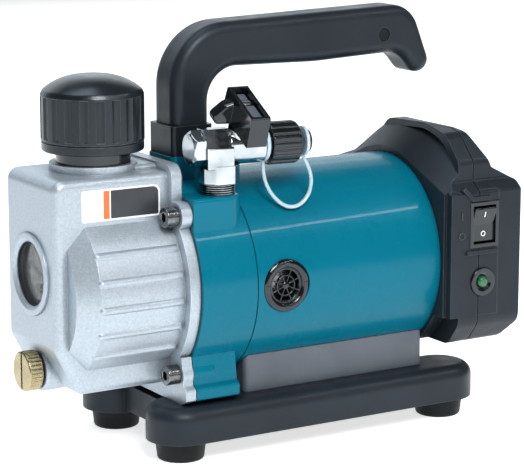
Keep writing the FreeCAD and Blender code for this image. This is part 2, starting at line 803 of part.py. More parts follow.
def vane_pump():
    """Rotary vane pump bolted on the bracket, inside the oil."""
    rear_start = "bracket_front - plate_thick"
    stator_start = "%s - rotor_length - 0.2" % rear_start
    front_start = "%s - plate_thick" % stator_start
    chamber = "axis_height + chamber_offset"

    def bolt_holes(name, start, length):
        return [cylinder("%s_hole_%d" % (name, number), "2.1", length, (start, y, z), "x")
                for number, (y, z) in enumerate(PUMP_BOLTS)]

    plates = []
    for name, start in (("rear_plate", rear_start), ("front_plate", front_start)):
        disc = cylinder(name + "_disc", "stator_radius", "plate_thick", (start, "0", "axis_height"), "x")
        bore = cylinder(name + "_bore", "shaft_radius + 0.04", "30", ("%s - 5" % start, "0", "axis_height"),
                        "x")
        plates.append(cut(name + "_cut", disc, bore, *bolt_holes(name, "%s - 1" % start, "20")))
    node("pump_end_plates", group("pump_end_plates_set", plates))
    block = cylinder("stator_block", "stator_radius", "rotor_length + 0.2",
                     (stator_start, "0", "axis_height"), "x")
    chamber_bore = cylinder("stator_bore", "chamber_radius", "60", ("%s - 5" % stator_start, "0", chamber),
                            "x")
    port = cylinder("stator_outlet", "2.5", "20", ("%s + 14" % stator_start, "-9", "axis_height + 18"))
    flat = box("stator_flat", ("%s + 2" % stator_start, "-15", "axis_height + 27.5"),
               ("%s + 26" % stator_start, "0", "axis_height + 40"))
    node("pump_cylinder", cut("stator_cut", block, chamber_bore, port, flat,
                              *bolt_holes("stator", "%s - 1" % stator_start, "40")))
    node("exhaust_reed", fuse(
        "reed_stack",
        box("reed_leaf", ("%s + 6" % stator_start, "-12.5", "axis_height + 27.5"),
            ("%s + 22" % stator_start, "-5.5", "axis_height + 27.9")),
        box("reed_stop", ("%s + 6" % stator_start, "-12.5", "axis_height + 27.9"),
            ("%s + 12" % stator_start, "-5.5", "axis_height + 29.2"))))
    owner = body("rotor_body")
    flat = circle(sketch(owner, "rotor_outline", "XY_Plane"), "0", "0", "rotor_radius")
    pad(owner, "rotor_pad", flat, "rotor_length")
    slot = outline(sketch(owner, "slot_outline", "XY_Plane"), [
        ("rotor_radius - vane_depth - 0.5", "-vane_thick / 2 - 0.04"),
        ("rotor_radius + 2", "-vane_thick / 2 - 0.04"),
        ("rotor_radius + 2", "vane_thick / 2 + 0.04"),
        ("rotor_radius - vane_depth - 0.5", "vane_thick / 2 + 0.04"),
    ])
    groove = pocket(owner, "slot", slot, "rotor_length", flip=True)
    repeat(owner, "slots", groove, "Z_Axis", "2")
    shaft = circle(sketch(owner, "rotor_bore_outline", "XY_Plane"), "0", "0", "shaft_radius + 0.02")
    pocket(owner, "rotor_bore", shaft, "rotor_length", flip=True)
    place(owner, ("%s + 0.1" % stator_start, "0", "axis_height"), TURN["x"])
    node("pump_rotor", owner)
    vane = box("vane_pattern", ("0", "rotor_radius - vane_depth", "-vane_thick / 2"),
               ("rotor_length", "rotor_radius - 0.1", "vane_thick / 2"))
    node("rotor_vanes", group("rotor_vanes_set", spokes("vane", vane, [90, 270],
                                                        ("%s + 0.1" % stator_start, "0", "axis_height"))))
    bolt = hex_socket_bolt("pump_bolt_pattern", "3.4", "4", "2", "rotor_length + 2 * plate_thick + 5", "1.7")
    bolts = []
    for number, (y, z) in enumerate(PUMP_BOLTS):
        piece = document.addObject("Part::Compound", "pump_bolt_%d" % number)
        piece.Links = [bolt]
        bolts.append(place(piece, (front_start, y, z), TURN["x"]))
    node("pump_bolts", group("pump_bolts_set", bolts))


# ---------------------------------------------------------------- motor

def motor_cover():
    """Round shell over the motor with a vent opening on each side."""
    shell = tube("cover_shell", "cover_radius", "cover_radius - cover_wall", "cover_rear - cover_front",
                 ("cover_front", "0", "axis_height"), "x")
    vents = cylinder("vent_openings", "vent_radius - 1.4", "4 * cover_radius",
                     ("vent_place", "-2 * cover_radius", "axis_height"), "y")
    seats = [cylinder("vent_seat_near", "vent_radius + 0.05", "10",
                      ("vent_place", "-cover_radius - 8.8", "axis_height"), "y"),
             cylinder("vent_seat_far", "vent_radius + 0.05", "10",
                      ("vent_place", "cover_radius - 1.2", "axis_height"), "y")]
    seam = tube("cover_seam", "cover_radius + 1", "cover_radius - 0.6", "0.7",
                ("cover_front - 0.1", "0", "axis_height"), "x")
    node("motor_cover", cut("cover_cut", shell, vents, *seats, seam))


def vent_grilles():
    """Round grille with two inner rings and six spokes, one on each side."""
    parts = [
        tube("vent_rim", "vent_radius", "vent_radius - 3.2", "1.6", ("0", "0", "0")),
        tube("vent_collar", "vent_radius - 1.6", "vent_radius - 3.2", "5.6", ("0", "0", "-4")),
        tube("vent_mid_ring", "7.6", "6.6", "1.2", ("0", "0", "0")),
        tube("vent_hub", "4.4", "2.6", "1.4", ("0", "0", "0")),
        cylinder("vent_button", "1.5", "1.2", ("0", "0", "0")),
    ]
    for number in range(6):
        arm = box("vent_arm_%d" % number, ("1", "-0.7", "0"), ("vent_radius - 2.6", "0.7", "1.2"))
        arm.Placement = FreeCAD.Placement(Vector(), Rotation(Vector(0, 0, 1), 60 * number + 30),
                                          Vector(-1, 0.7, 0))
        parts.append(arm)
    pattern = fuse("vent_pattern", *parts)
    grilles = []
    for side, sign, turn in (("near", "-", 90), ("far", "", -90)):
        piece = document.addObject("Part::Compound", "vent_" + side)
        piece.Links = [pattern]
        grilles.append(place(piece, ("vent_place", "%s(cover_radius - 1.2)" % sign, "axis_height"),
                             Rotation(Vector(1, 0, 0), turn)))
    node("vent_grilles", group("vent_grilles_set", grilles))


def motor():
    """Brushed motor with permanent magnets, its shaft line and its cooling fan."""
    def along(start):
        return (start, "0", "axis_height")

    can = tube("yoke_tube", "40", "36.5", "75.5", along("-18"), "x")
    ring = tube("magnet_ring", "36.4", "31", "46", along("-6"), "x")
    gaps = [box("magnet_gap_near", ("-8", "-50", "axis_height - 12"), ("44", "0", "axis_height + 12")),
            box("magnet_gap_far", ("-8", "0", "axis_height - 12"), ("44", "50", "axis_height + 12"))]
    node("motor_magnets", cut("magnet_cut", ring, *gaps))
    owner = body("armature_body")
    flat = circle(sketch(owner, "armature_outline", "XY_Plane"), "0", "0", "30")
    pad(owner, "armature_pad", flat, "42")
    slot = circle(sketch(owner, "armature_slot_outline", "XY_Plane"), "26", "0", "3")
    opening = pocket(owner, "armature_slot", slot, "42", flip=True)
    repeat(owner, "armature_slots", opening, "Z_Axis", "12")
    bore = circle(sketch(owner, "armature_bore_outline", "XY_Plane"), "0", "0", "shaft_radius + 0.02")
    pocket(owner, "armature_bore", bore, "42", flip=True)
    place(owner, along("-4"), TURN["x"])
    node("armature_core", owner)
    ends = [turned("winding_%s" % name, [("14", "0"), ("28.5", "0", "2"), ("27", "9", "4"), ("14", "9", "3")],
                   along(start), Rotation(Vector(0, 1, 0), turn))
            for name, start, turn in (("front", "-4.1", -90), ("rear", "38.1", 90))]
    node("armature_windings", group("armature_windings_set", ends))
    node("commutator", tube("commutator_ring", "11", "shaft_radius + 0.02", "12", along("48.5"), "x"))
    node("motor_shaft", cylinder("shaft_rod", "shaft_radius", "176", along("-98"), "x"))
    bearings = [tube("bearing_%s" % name, "11", "shaft_radius + 0.03", "7", along(start), "x")
                for name, start in (("front", "-27.5"), ("rear", "63.5"))]
    node("motor_bearings", group("motor_bearings_set", bearings))
    brushes = [box("brush_" + side, ("50.5", low, "axis_height - 3"), ("57.4", high, "axis_height + 3"))
               for side, low, high in (("near", "-21", "-11.1"), ("far", "11.1", "21"))]
    node("carbon_brushes", group("carbon_brushes_set", brushes))
    plate = tube("end_bell_plate", "40", "11.05", "8", along("57.5"), "x")
    seat = tube("end_bell_seat", "15", "11.05", "6.5", along("64.5"), "x")
    holders = []
    for side, low, high in (("near", "-33", "-14"), ("far", "14", "33")):
        outside = box("holder_" + side, ("48.8", low, "axis_height - 5"), ("58", high, "axis_height + 5"))
        inside = box("holder_slot_" + side, ("50.4", "%s - 1" % low, "axis_height - 3.1"),
                     ("58.6", "%s + 1" % high, "axis_height + 3.1"))
        holders.append(cut("holder_cut_" + side, outside, inside))
    node("motor_end_bell", fuse("end_bell", plate, seat, *holders))
    front = tube("front_bell_plate", "40", "11.05", "6", along("-24"), "x")
    hub = tube("front_bell_hub", "15", "11.05", "8.5", along("-28"), "x")
    ears = tube("front_bell_rim", "49.6", "39", "4", along("-26"), "x")
    node("motor_yoke", fuse("yoke", can, front, hub, ears))
    hub = tube("fan_hub", "9", "shaft_radius + 0.02", "8", along("71.5"), "x")
    disc = tube("fan_disc", "31", "8", "1.4", along("71.5"), "x")
    blade = box("fan_blade", ("0", "8", "-0.7"), ("8", "30", "0.7"))
    blades = spokes("fan_blade_copy", blade, evenly(11), along("71.5"))
    node("cooling_fan", fuse("fan", hub, disc, *blades))


# ---------------------------------------------------------------- rear housing

def housing_block(name, wall):
    """Outer form of the rear housing: its end outline cut by its side outline, moved in by a wall."""
    end = body(name + "_end")
    half = "housing_half_width - %s" % wall
    right = [
        ("50 - %s" % wall, "housing_bottom + %s" % wall, "6"),
        (half, "housing_bottom + 12", "9"),
        (half, "pad_high - %s" % wall, "1.5"),
        ("53 - %s" % wall, "pad_high + 5.4 - %s" % wall, "2"),
        ("53 - %s" % wall, "138 - %s" % wall, "5"),
        ("41 - %s" % wall, "151.2 - %s" % wall, "9"),
        ("22", "housing_top - %s" % wall, "20"),
    ]
    near = [("-(%s)" % corner[0],) + corner[1:] for corner in reversed(right)]
    far = right[:4] + [
        ("31.5 - %s" % wall, "134.2 - %s" % wall, "9"),
        ("11 - %s" % wall, "housing_top - 1.6 - %s" % wall, "9"),
    ]
    flat = outline(sketch(end, name + "_end_outline", "YZ_Plane", "housing_front + %s" % wall), far + near)
    pad(end, name + "_end_pad", flat, "housing_rear - housing_front - 2 * %s" % wall)
    side = body(name + "_side")
    flat = outline(sketch(side, name + "_side_outline", "XZ_Plane"), [
        ("housing_front - 5", "housing_bottom - 5"),
        ("housing_rear - 7 - %s" % wall, "housing_bottom - 5"),
        ("housing_rear - 7 - %s" % wall, "housing_bottom + %s" % wall, "1.5"),
        ("housing_rear - %s" % wall, "housing_bottom + 9", "2"),
        ("housing_rear - %s" % wall, "126.5 - %s" % wall, "2"),
        ("115.6 - %s" % wall, "134.2 - %s" % wall, "3"),
        ("107.5 - %s" % wall, "housing_top - 2.5", "4"),
        ("94", "housing_top + 0.5", "30"),
        ("housing_front - 5", "housing_top + 0.5"),
    ])
    pad(side, name + "_side_pad", flat, "150", midplane=True)
    return common(name, end, side)


HOUSING_SCREWS = [("-46.5", "50"), ("-46.5", "129"), ("46.5", "50"), ("46.5", "121")]


def flare(name, wall):
    """Collar around the motor cover, widening from its front edge towards the lip of the hump."""
    owner = body(name)
    rings = []
    for step, (start, side, low, apex, radius) in enumerate((
            ("flare_front - 6", "55", "118.4", "139.6", "51"),
            ("lip_front + lip_depth", "60", "131.8", "162.8", "66"))):
        flat = sketch(owner, "%s_ring_%d" % (name, step), "YZ_Plane", start)
        rings.append(outline(flat, [
            ("-%s" % side, "60"),
            (side, "60"),
            (side, "%s - %s" % (low, wall)),
            ("0", "%s - %s" % (apex, wall), radius),
            ("-%s" % side, "%s - %s" % (low, wall)),
        ]))
    loft = owner.newObject("PartDesign::AdditiveLoft", name + "_loft")
    loft.Profile = rings[0]
    loft.Sections = rings[1:]
    loft.Ruled = True
    return owner


def scoop():
    """Room in front of the hump and of the low block, and under the hump's lip."""
    reach = "lip_front + lip_depth"
    under_lip = common("under_lip", housing_block("lip_inside", "lip_wall"),
                       box("under_lip_zone", ("lip_front - 1", "-70", "pad_high + 4"), (reach, "70", "160")))
    above = cut("scoop_above",
                fuse("scoop_room", under_lip,
                     box("scoop_front", ("housing_front - 1", "-70", "pad_high"),
                         ("lip_front", "70", "160"))),
                flare("collar_flare", "0"))
    below = cut("scoop_below",
                box("scoop_low", ("housing_front - 1", "-70", "30"), ("low_front", "70", "pad_low")),
                cylinder("collar_low", "cover_radius + 2.2", "20",
                         ("housing_front - 2", "0", "axis_height"), "x"))
    pads = [box("pad_relief_" + side, ("housing_front - 1", low, "pad_low - 1"),
                ("pad_front", high, "pad_high + 1"))
            for side, low, high in (("near", "-70", "-55"), ("far", "55", "70"))]
    return fuse("scoop_all", above, below, *pads)


def rear_housing():
    """Two moulded shells: the front one holds the switch, the rear one holds the battery bay."""
    whole = housing_block("housing_whole", "0")
    behind_scoop = cut("behind_scoop",
                       box("behind_scoop_zone", ("housing_front", "-70", "pad_high - 3"),
                           ("lip_front + lip_depth + 2.4", "70", "160")),
                       flare("inner_flare", "3"))
    behind_low = box("behind_low_zone", ("housing_front", "-70", "30"),
                     ("low_front + housing_wall", "70", "pad_low + 3"))
    hollow = cut("housing_hollow", housing_block("housing_inside", "housing_wall"), behind_scoop, behind_low)
    bay = box("bay_space", ("bay_front", "-bay_half_width", "bay_floor"),
              ("housing_rear + 5", "bay_half_width", "170"))
    bay_skin = box("bay_skin",
                   ("bay_front - housing_wall", "-bay_half_width - housing_wall", "bay_floor - housing_wall"),
                   ("housing_rear + 5", "bay_half_width + housing_wall", "170"))
    solid_bay = common("bay_wall", whole, bay_skin)
    shell = cut("housing_shell",
                fuse("housing_with_bay", cut("housing_hollowed", whole, hollow), solid_bay), bay)
    front_zone = fuse("front_zone",
                      box("front_zone_main", ("housing_front - 10", "-80", "0"),
                          ("housing_seam", "80", "200")),
                      box("front_zone_near", ("housing_front", "-80", "pad_low"),
                          ("pad_rear", "-50", "pad_high + 1")),
                      box("front_zone_far", ("housing_front", "50", "pad_low"),
                          ("pad_rear", "80", "pad_high + 1")))
    columns = [common("screw_column_%d" % number, whole,
                      cylinder("screw_post_%d" % number, "5", "20", ("housing_seam - 12", y, z), "x"))
               for number, (y, z) in enumerate(HOUSING_SCREWS)]
    shell = fuse("housing_with_posts", shell, *columns)
    bores = [cylinder("screw_bore_%d" % number, "1.65", "13", ("housing_seam - 5", y, z), "x")
             for number, (y, z) in enumerate(HOUSING_SCREWS)]
    wells = [cylinder("screw_well_%d" % number, "3.4", "30", ("housing_seam + 6.5", y, z), "x")
             for number, (y, z) in enumerate(HOUSING_SCREWS)]
    opening = cylinder("motor_opening", "cover_radius - 6", "housing_wall + 2",
                       ("housing_front - 1", "0", "axis_height"), "x")
    collar = tube("motor_collar", "cover_radius - cover_wall - 0.1", "cover_radius - 6",
                  "cover_rear - housing_front + 5", ("housing_front - 5", "0", "axis_height"), "x")
    front = cut("housing_front_cut", common("housing_front_part", shell, front_zone), opening,
                cylinder("cover_room", "cover_radius + 0.1", "cover_rear - housing_front + 0.1",
                         ("housing_front - 0.05", "0", "axis_height"), "x"),
                box("switch_hole", ("rocker_place - 8.2", "-70", "rocker_height - 11.4"),
                    ("rocker_place + 8.2", "-40", "rocker_height + 11.4")),
                cylinder("led_hole", "6.6", "20", ("led_place", "-70", "led_height"), "y"),
                scoop())
    seam_front = box("seam_slab", ("housing_seam - 0.3", "-70", "30"), ("housing_seam + 0.3", "70", "170"))
    seam = cut("seam_groove", seam_front, housing_block("seam_core", "0.7"))
    slant = place(box("ledge_slant", ("92.4", "-60.6", "124.4"), ("101.2", "-53", "126.6")),
                  ("92.4", "-60.6", "124.4"), Rotation(Vector(0, 1, 0), 43))
    ledges = [slant,
              box("ledge_upper", ("99.4", "-60.6", "118.4"), ("110.4", "-58", "120.6")),
              box("ledge_lower", ("95.8", "-60.6", "90"), ("115.6", "-58", "92.2"))]
    node("rear_housing_front", fuse("housing_front_collared", cut("housing_front_bored", front, *bores, seam),
                                    collar, *ledges))
    rear = cut("housing_rear_part", shell, front_zone, *bores, *wells, seam)
    rails = []
    for side, low, high in (("near", "-bay_half_width", "3.5 - bay_half_width"),
                            ("far", "bay_half_width - 3.5", "bay_half_width")):
        rails.append(box("bay_rail_" + side, ("bay_front + 6", low, "bay_floor"),
                         ("bay_front + 10", high, "126")))
    block_hole = box("terminal_opening", ("bay_front - 5", "-20.1", "76.9"),
                     ("bay_front + 1", "20.1", "110.1"))
    node("rear_housing_back", cut("housing_back_cut", fuse("housing_back", rear, *rails), block_hole))


def switch_and_lamp():
    """Rocker switch and power lamp on the near side."""
    face = "-housing_half_width - 0.5"
    case = box("switch_case", ("rocker_place - 8.1", "-housing_half_width + 0.2", "rocker_height - 11.3"),
               ("rocker_place + 8.1", "-42", "rocker_height + 11.3"))
    bezel = box("switch_bezel", ("rocker_place - 9.1", face, "rocker_height - 12.3"),
                ("rocker_place + 9.1", "-housing_half_width", "rocker_height + 12.3"))
    neck = box("switch_neck", ("rocker_place - 8.1", "-housing_half_width - 0.1", "rocker_height - 11.3"),
               ("rocker_place + 8.1", "-housing_half_width + 0.3", "rocker_height + 11.3"))
    soft = rounded("switch_bezel_soft", bezel, 0.45, lambda point, edge: point.y < value(face) + 0.01)
    well = box("switch_well", ("rocker_place - 7.1", "-housing_half_width - 3", "rocker_height - 10"),
               ("rocker_place + 7.1", "-48", "rocker_height + 10"))
    node("power_switch", cut("switch_cut", fuse("switch_solid", case, neck, soft), well))
    owner = body("rocker_body")
    flat = outline(sketch(owner, "rocker_outline", "YZ_Plane", "-6.8"), [
        ("-2.9", "-9.3", "0.8"),
        ("3.4", "-9.3"),
        ("6.4", "-3"),
        ("6.4", "3"),
        ("3.4", "9.3"),
        ("-2.9", "9.3", "0.8"),
        ("-1.6", "0"),
    ])
    pad(owner, "rocker_pad", flat, "13.6")
    place(owner, ("rocker_place", "2.5 - housing_half_width", "rocker_height"), Rotation(Vector(1, 0, 0), 8))
    node("power_rocker", owner)
    node("lamp_bezel", turned("lamp_bezel_turned", [
        ("3.2", "0"), ("6.5", "0"), ("6.5", "3"), ("7.8", "3"), ("7.4", "4.1", "0.4"), ("5", "4.1", "0.4"),
        ("3.2", "3"),
    ], ("led_place", "3 - housing_half_width", "led_height"), Rotation(Vector(1, 0, 0), 90)))
    node("lamp_lens", turned("lamp_lens_turned", [
        ("0", "-2"), ("3.1", "-2"), ("3.1", "3.4"), ("2.2", "4.6", "1"), ("0", "4.8"),
    ], ("led_place", "3 - housing_half_width", "led_height"), Rotation(Vector(1, 0, 0), 90)))


def electrics():
    """Speed controller board and the terminal block that meets the battery."""
    node("control_board",
         box("board_sheet", ("housing_seam - 9", "-34", "98"), ("housing_seam - 7.4", "18", "136")))
    block = box("terminal_plug", ("bay_front - 5", "-20", "77"), ("bay_front + 3", "20", "110"))
    blades = [box("blade_%d" % number, ("bay_front - 2", y, "82"), ("bay_front + 9", "%s + 1" % y, "104"))
              for number, y in enumerate(("-13", "-0.5", "12"))]
    node("terminal_block", cut("terminal_block_cut", block, *blades))
    node("battery_terminals", group("battery_terminals_set", blades))


def housing_screws():
    """Four screws that clamp the rear shell on the front shell, from behind."""
    screw = hex_socket_bolt("housing_screw_pattern", "3.2", "2.4", "1.6", "11", "1.6")
    screws = []
    for number, (y, z) in enumerate(HOUSING_SCREWS):
        piece = document.addObject("Part::Compound", "housing_screw_%d" % number)
        piece.Links = [screw]
        screws.append(place(piece, ("housing_seam + 6.5", y, z), Rotation(Vector(0, 1, 0), -90)))
    node("housing_screws", group("housing_screws_set", screws))


# ---------------------------------------------------------------- handle

def handle():
    """One-post carrying handle, screwed to the bracket through a collar."""
    owner = body("handle_grip_body")
    flat = outline(sketch(owner, "handle_outline", "XZ_Plane"), [
        ("post_front", "collar_top"),
        ("post_front", "grip_top - 4.3", "32"),
        ("94.5", "grip_top", "17"),
        ("107.5", "grip_top - 33", "6.5"),
        ("97.5", "grip_top - 38.3", "6.4"),
        ("86.5", "grip_top - 25", "14"),
        ("35", "grip_top - 27.2", "80"),
        ("post_rear", "grip_top - 26", "17"),
        ("post_rear", "collar_top"),
    ])
    pad(owner, "handle_pad", flat, "grip_width", midplane=True)
    half = SIZES["grip_width"] / 2 - 0.01
    soft = rounded("handle_soft", owner, 5.5,
                   lambda point, edge: abs(point.y) > half and point.z > SIZES["collar_top"] + 0.1)
    bores = [cylinder("grip_bore_%d" % number, "2.55", "16", (x, "0", "collar_top - 1"))
             for number, x in enumerate(HANDLE_BOLTS)]
    recess = cylinder("plug_recess", "3.55", "4",
                      ("grip_end - 31", "0 - grip_width / 2 - 1", "grip_top - 15.3"), "y")
    node("handle_grip", cut("handle_cut", soft, recess, *bores))
    node("handle_plug", turned("handle_plug_turned", [
        ("0", "0"), ("3.5", "0"), ("3.5", "2.8", "0.4"), ("0", "2.8"),
    ], ("grip_end - 31", "3 - grip_width / 2", "grip_top - 15.3"), Rotation(Vector(1, 0, 0), 90)))
    collar = box("collar_block", ("post_front - 1.6", "-12.6", "collar_bottom"),
                 ("post_rear + 0.8", "12.6", "collar_top"))
    collar_soft = rounded("collar_soft", collar, 2.5,
                          lambda point, edge: abs(edge.tangentAt(edge.FirstParameter).z) > 0.9)
    holes = [cylinder("collar_bore_%d" % number, "2.6", "20", (x, "0", "collar_bottom - 2"))
             for number, x in enumerate(HANDLE_BOLTS)]
    node("handle_collar", cut("collar_cut", collar_soft, *holes))
    bolts = [cylinder("handle_bolt_%d" % number, "2.5", "48", (x, "0", "collar_top + 14 - 48"))
             for number, x in enumerate(HANDLE_BOLTS)]
    node("handle_bolts", group("handle_bolts_set", bolts))


# ---------------------------------------------------------------- inlet valve

YAW = Rotation(Vector(0, 0, 1), SIZES["valve_yaw"])
TILT = Rotation(Vector(1, 0, 0), SIZES["spindle_tilt"])


def seat_valve(piece):
    """Put a piece drawn in the valve's own frame (X along its port) on the bracket."""
    return place(piece, ("port_place", "port_side", "valve_height"), YAW)


def on_spindle(name, piece):
    """Move a piece drawn about the spindle axis into the valve's own frame, then seat it."""
    leaned = document.addObject("Part::Compound", name)
    leaned.Links = [place(piece, ("spindle_place", "0", "0"), TILT)]
    return seat_valve(leaned)


def valve():
    """Ball valve on the bracket: threaded stem below, flare port along X, leaning spindle."""
    elbow = body("valve_elbow")
    flat = outline(sketch(elbow, "valve_elbow_outline", "YZ_Plane", "-9"), [
        ("-9.5", "-9.8", "0.6"),
        ("9", "-9.8", "0.6"),
        ("9.6", "2", "0.6"),
        ("4", "9.4", "0.6"),
        ("-3", "9.4", "0.6"),
        ("-9.5", "0.4", "0.6"),
    ])
    pad(elbow, "valve_elbow_pad", flat, "14")
    barrel = cylinder("valve_barrel", "9.2", "19", ("4", "0", "0"), "x")
    flats = box("valve_barrel_flats", ("4", "-9", "-9"), ("23", "9", "8.2"))
    nut = body("valve_stem_nut")
    flat = outline(sketch(nut, "valve_nut_outline", "XY_Plane", "-17.4"), [
        ("-9", "-4.4", "0.8"), ("-4.4", "-9.6", "0.8"), ("5.4", "-9.6", "0.8"), ("10.2", "-4.4", "0.8"),
        ("10.2", "4.4", "0.8"), ("5.4", "9.6", "0.8"), ("-4.4", "9.6", "0.8"), ("-9", "4.4", "0.8"),
    ])
    pad(nut, "valve_nut_pad", flat, "9")
    stem = cylinder("valve_stem", "8.2", "14", ("0", "0", "port_top - valve_height - 7.8"))
    collar = cylinder("valve_collar", "6.2", "10.6", ("0", "0", "0"))
    place(collar, ("spindle_place", "0", "0"), TILT)
    neck = cylinder("valve_neck", "7", "4", ("22.5", "0", "0"), "x")
    nipple = cylinder("valve_nipple", "5.55", "13", ("24", "0", "0"), "x")
    tip = cone("valve_flare", "5.55", "4.2", "3", ("37", "0", "0"), "x")
    solid = fuse("valve_solid", elbow, common("valve_barrel_cut", barrel, flats), nut, stem, collar, neck,
                 nipple, tip)
    room = document.addObject("Part::Sphere", "ball_room")
    bind(room, "Radius", "ball_radius + 0.3")
    place(room, ("spindle_place", "0", "0"))
    bore = cylinder("valve_bore", "ball_bore", "60", ("-2", "0", "0"), "x")
    down = cylinder("valve_drop", "ball_bore", "32", ("0", "0", "-30"))
    chamber = cylinder("valve_chamber", "ball_radius + 0.3", "24", ("-14", "0", "0"), "x")
    inner = cylinder("valve_chamber_end", "ball_radius + 0.3", "spindle_place + 5.4", ("0", "0", "0"), "x")
    spindle_bore = cylinder("spindle_bore", "2.55", "14", ("0", "0", "0"))
    place(spindle_bore, ("spindle_place", "0", "0"), TILT)
    node("valve_body",
         seat_valve(cut("valve_body_cut", solid, room, bore, down, chamber, inner, spindle_bore)))

    plug = body("valve_plug_body")
    flat = outline(sketch(plug, "valve_plug_hex", "YZ_Plane", "-15.5"), [
        ("%.3f" % (9.2 * math.cos(math.radians(60 * step + 30))),
         "%.3f" % (9.2 * math.sin(math.radians(60 * step + 30))))
        for step in range(6)
    ])
    pad(plug, "valve_plug_pad", flat, "6.4")
    spigot = circle(sketch(plug, "valve_plug_spigot_outline", "YZ_Plane", "-9.2"), "0", "0", "6.85")
    pad(plug, "valve_plug_spigot", spigot, "5")
    turned_plug = common("valve_plug_chamfer", plug,
                         fuse("valve_plug_limit",
                              cone("valve_plug_front", "7.4", "9.4", "1.6", ("-15.5", "0", "0"), "x"),
                              cylinder("valve_plug_rest", "9.4", "20", ("-13.9", "0", "0"), "x")))
    node("valve_plug", seat_valve(turned_plug))

    seats = [tube("valve_seat_" + side, "6.8", "4.4", "1.2", (start, "0", "0"), "x")
             for side,
             start in (("left", "spindle_place - ball_radius - 0.9"), ("right", "spindle_place + 4.2"))]
    ball_room = document.addObject("Part::Sphere", "seat_room")
    bind(ball_room, "Radius", "ball_radius + 0.05")
    place(ball_room, ("spindle_place", "0", "0"))
    node("valve_seats", seat_valve(cut("valve_seats_cut", group("valve_seats_pair", seats), ball_room)))

    ball = document.addObject("Part::Sphere", "ball_whole")
    bind(ball, "Radius", "ball_radius")
    through = cylinder("ball_through", "ball_bore", "30", ("0", "-15", "0"), "y")
    slot = box("ball_slot", ("-1.55", "-20", "ball_radius - 2"), ("1.55", "20", "ball_radius + 2"))
    node("valve_ball", on_spindle("valve_ball_set", cut("ball_cut", ball, through, slot)))
    rod = fuse("spindle_solid",
               cylinder("spindle_rod", "2.5", "lever_low + 6 - ball_radius - 0.2",
                        ("0", "0", "ball_radius + 0.2")),
               box("spindle_tang", ("-1.5", "-1.9", "ball_radius - 1.9"),
                   ("1.5", "1.9", "ball_radius + 0.5")))
    thread = cylinder("spindle_thread", "1.3", "6", ("0", "0", "lever_low + 1"))
    node("valve_spindle", on_spindle("valve_spindle_set", cut("spindle_cut", rod, thread)))

    bar = body("lever_bar")
    flat = outline(sketch(bar, "lever_bar_outline", "YZ_Plane", "-lever_width / 2"), [
        ("-lever_near", "lever_low", "1"),
        ("lever_far", "lever_low", "2"),
        ("lever_far - 1.5", "lever_low + lever_tall", "1.5"),
        ("1.2 - lever_near", "lever_low + lever_tall", "1.2"),
    ])
    pad(bar, "lever_bar_pad", flat, "lever_width")
    recess = outline(sketch(bar, "lever_recess_outline", "XY_Plane", "lever_low + lever_tall"), [
        ("1.5 - lever_width / 2", "3 - lever_near", "0.8"),
        ("lever_width / 2 - 1.5", "3 - lever_near", "0.8"),
        ("lever_width / 2 - 1.5", "lever_far - 3.6", "0.8"),
        ("1.5 - lever_width / 2", "lever_far - 3.6", "0.8"),
    ])
    pocket(bar, "lever_recess_pocket", recess, "lever_recess")
    wing = body("lever_wing")
    flat = outline(sketch(wing, "lever_wing_outline", "XZ_Plane", "-5"), [
        ("1 - lever_width / 2", "lever_low + 12.5"),
        ("-lever_width / 2 - 4", "lever_low + 11", "3"),
        ("-lever_width / 2 - 10.5", "lever_low + 4.6", "3"),
        ("-lever_width / 2 - 7.5", "lever_low + 0.4", "2"),
        ("1 - lever_width / 2", "lever_low"),
    ])
    pad(wing, "lever_wing_pad", flat, "7", midplane=True)
    lever_hole = cylinder("lever_hole", "2.52", "6.1", ("0", "0", "lever_low - 0.1"))
    screw_hole = cylinder("lever_screw_hole", "1.3", "lever_tall", ("0", "0", "lever_low"))
    wing_soft = rounded("lever_wing_soft", wing, 1.6,
                        lambda point, edge: point.x < -SIZES["lever_width"] / 2 - 0.1
                        and abs(edge.tangentAt(edge.FirstParameter).y) < 0.1)
    lever = cut("lever_cut", fuse("lever_solid", bar, wing_soft), lever_hole, screw_hole)
    node("valve_lever", on_spindle("valve_lever_set", lever))
    screw = fuse("lever_screw_solid",
                 cylinder("lever_screw_head", "2.6", "1.8",
                          ("0", "0", "lever_low + lever_tall - lever_recess")),
                 cylinder("lever_screw_shank", "1.25", "lever_tall - lever_recess - 1",
                          ("0", "0", "lever_low + 1.2")))
    slot = box("lever_screw_slot", ("-3", "-0.4", "lever_low + lever_tall - lever_recess + 1.1"),
               ("3", "0.4", "lever_low + lever_tall - lever_recess + 2"))
    node("lever_screw", on_spindle("lever_screw_set", cut("lever_screw_cut", screw, slot)))


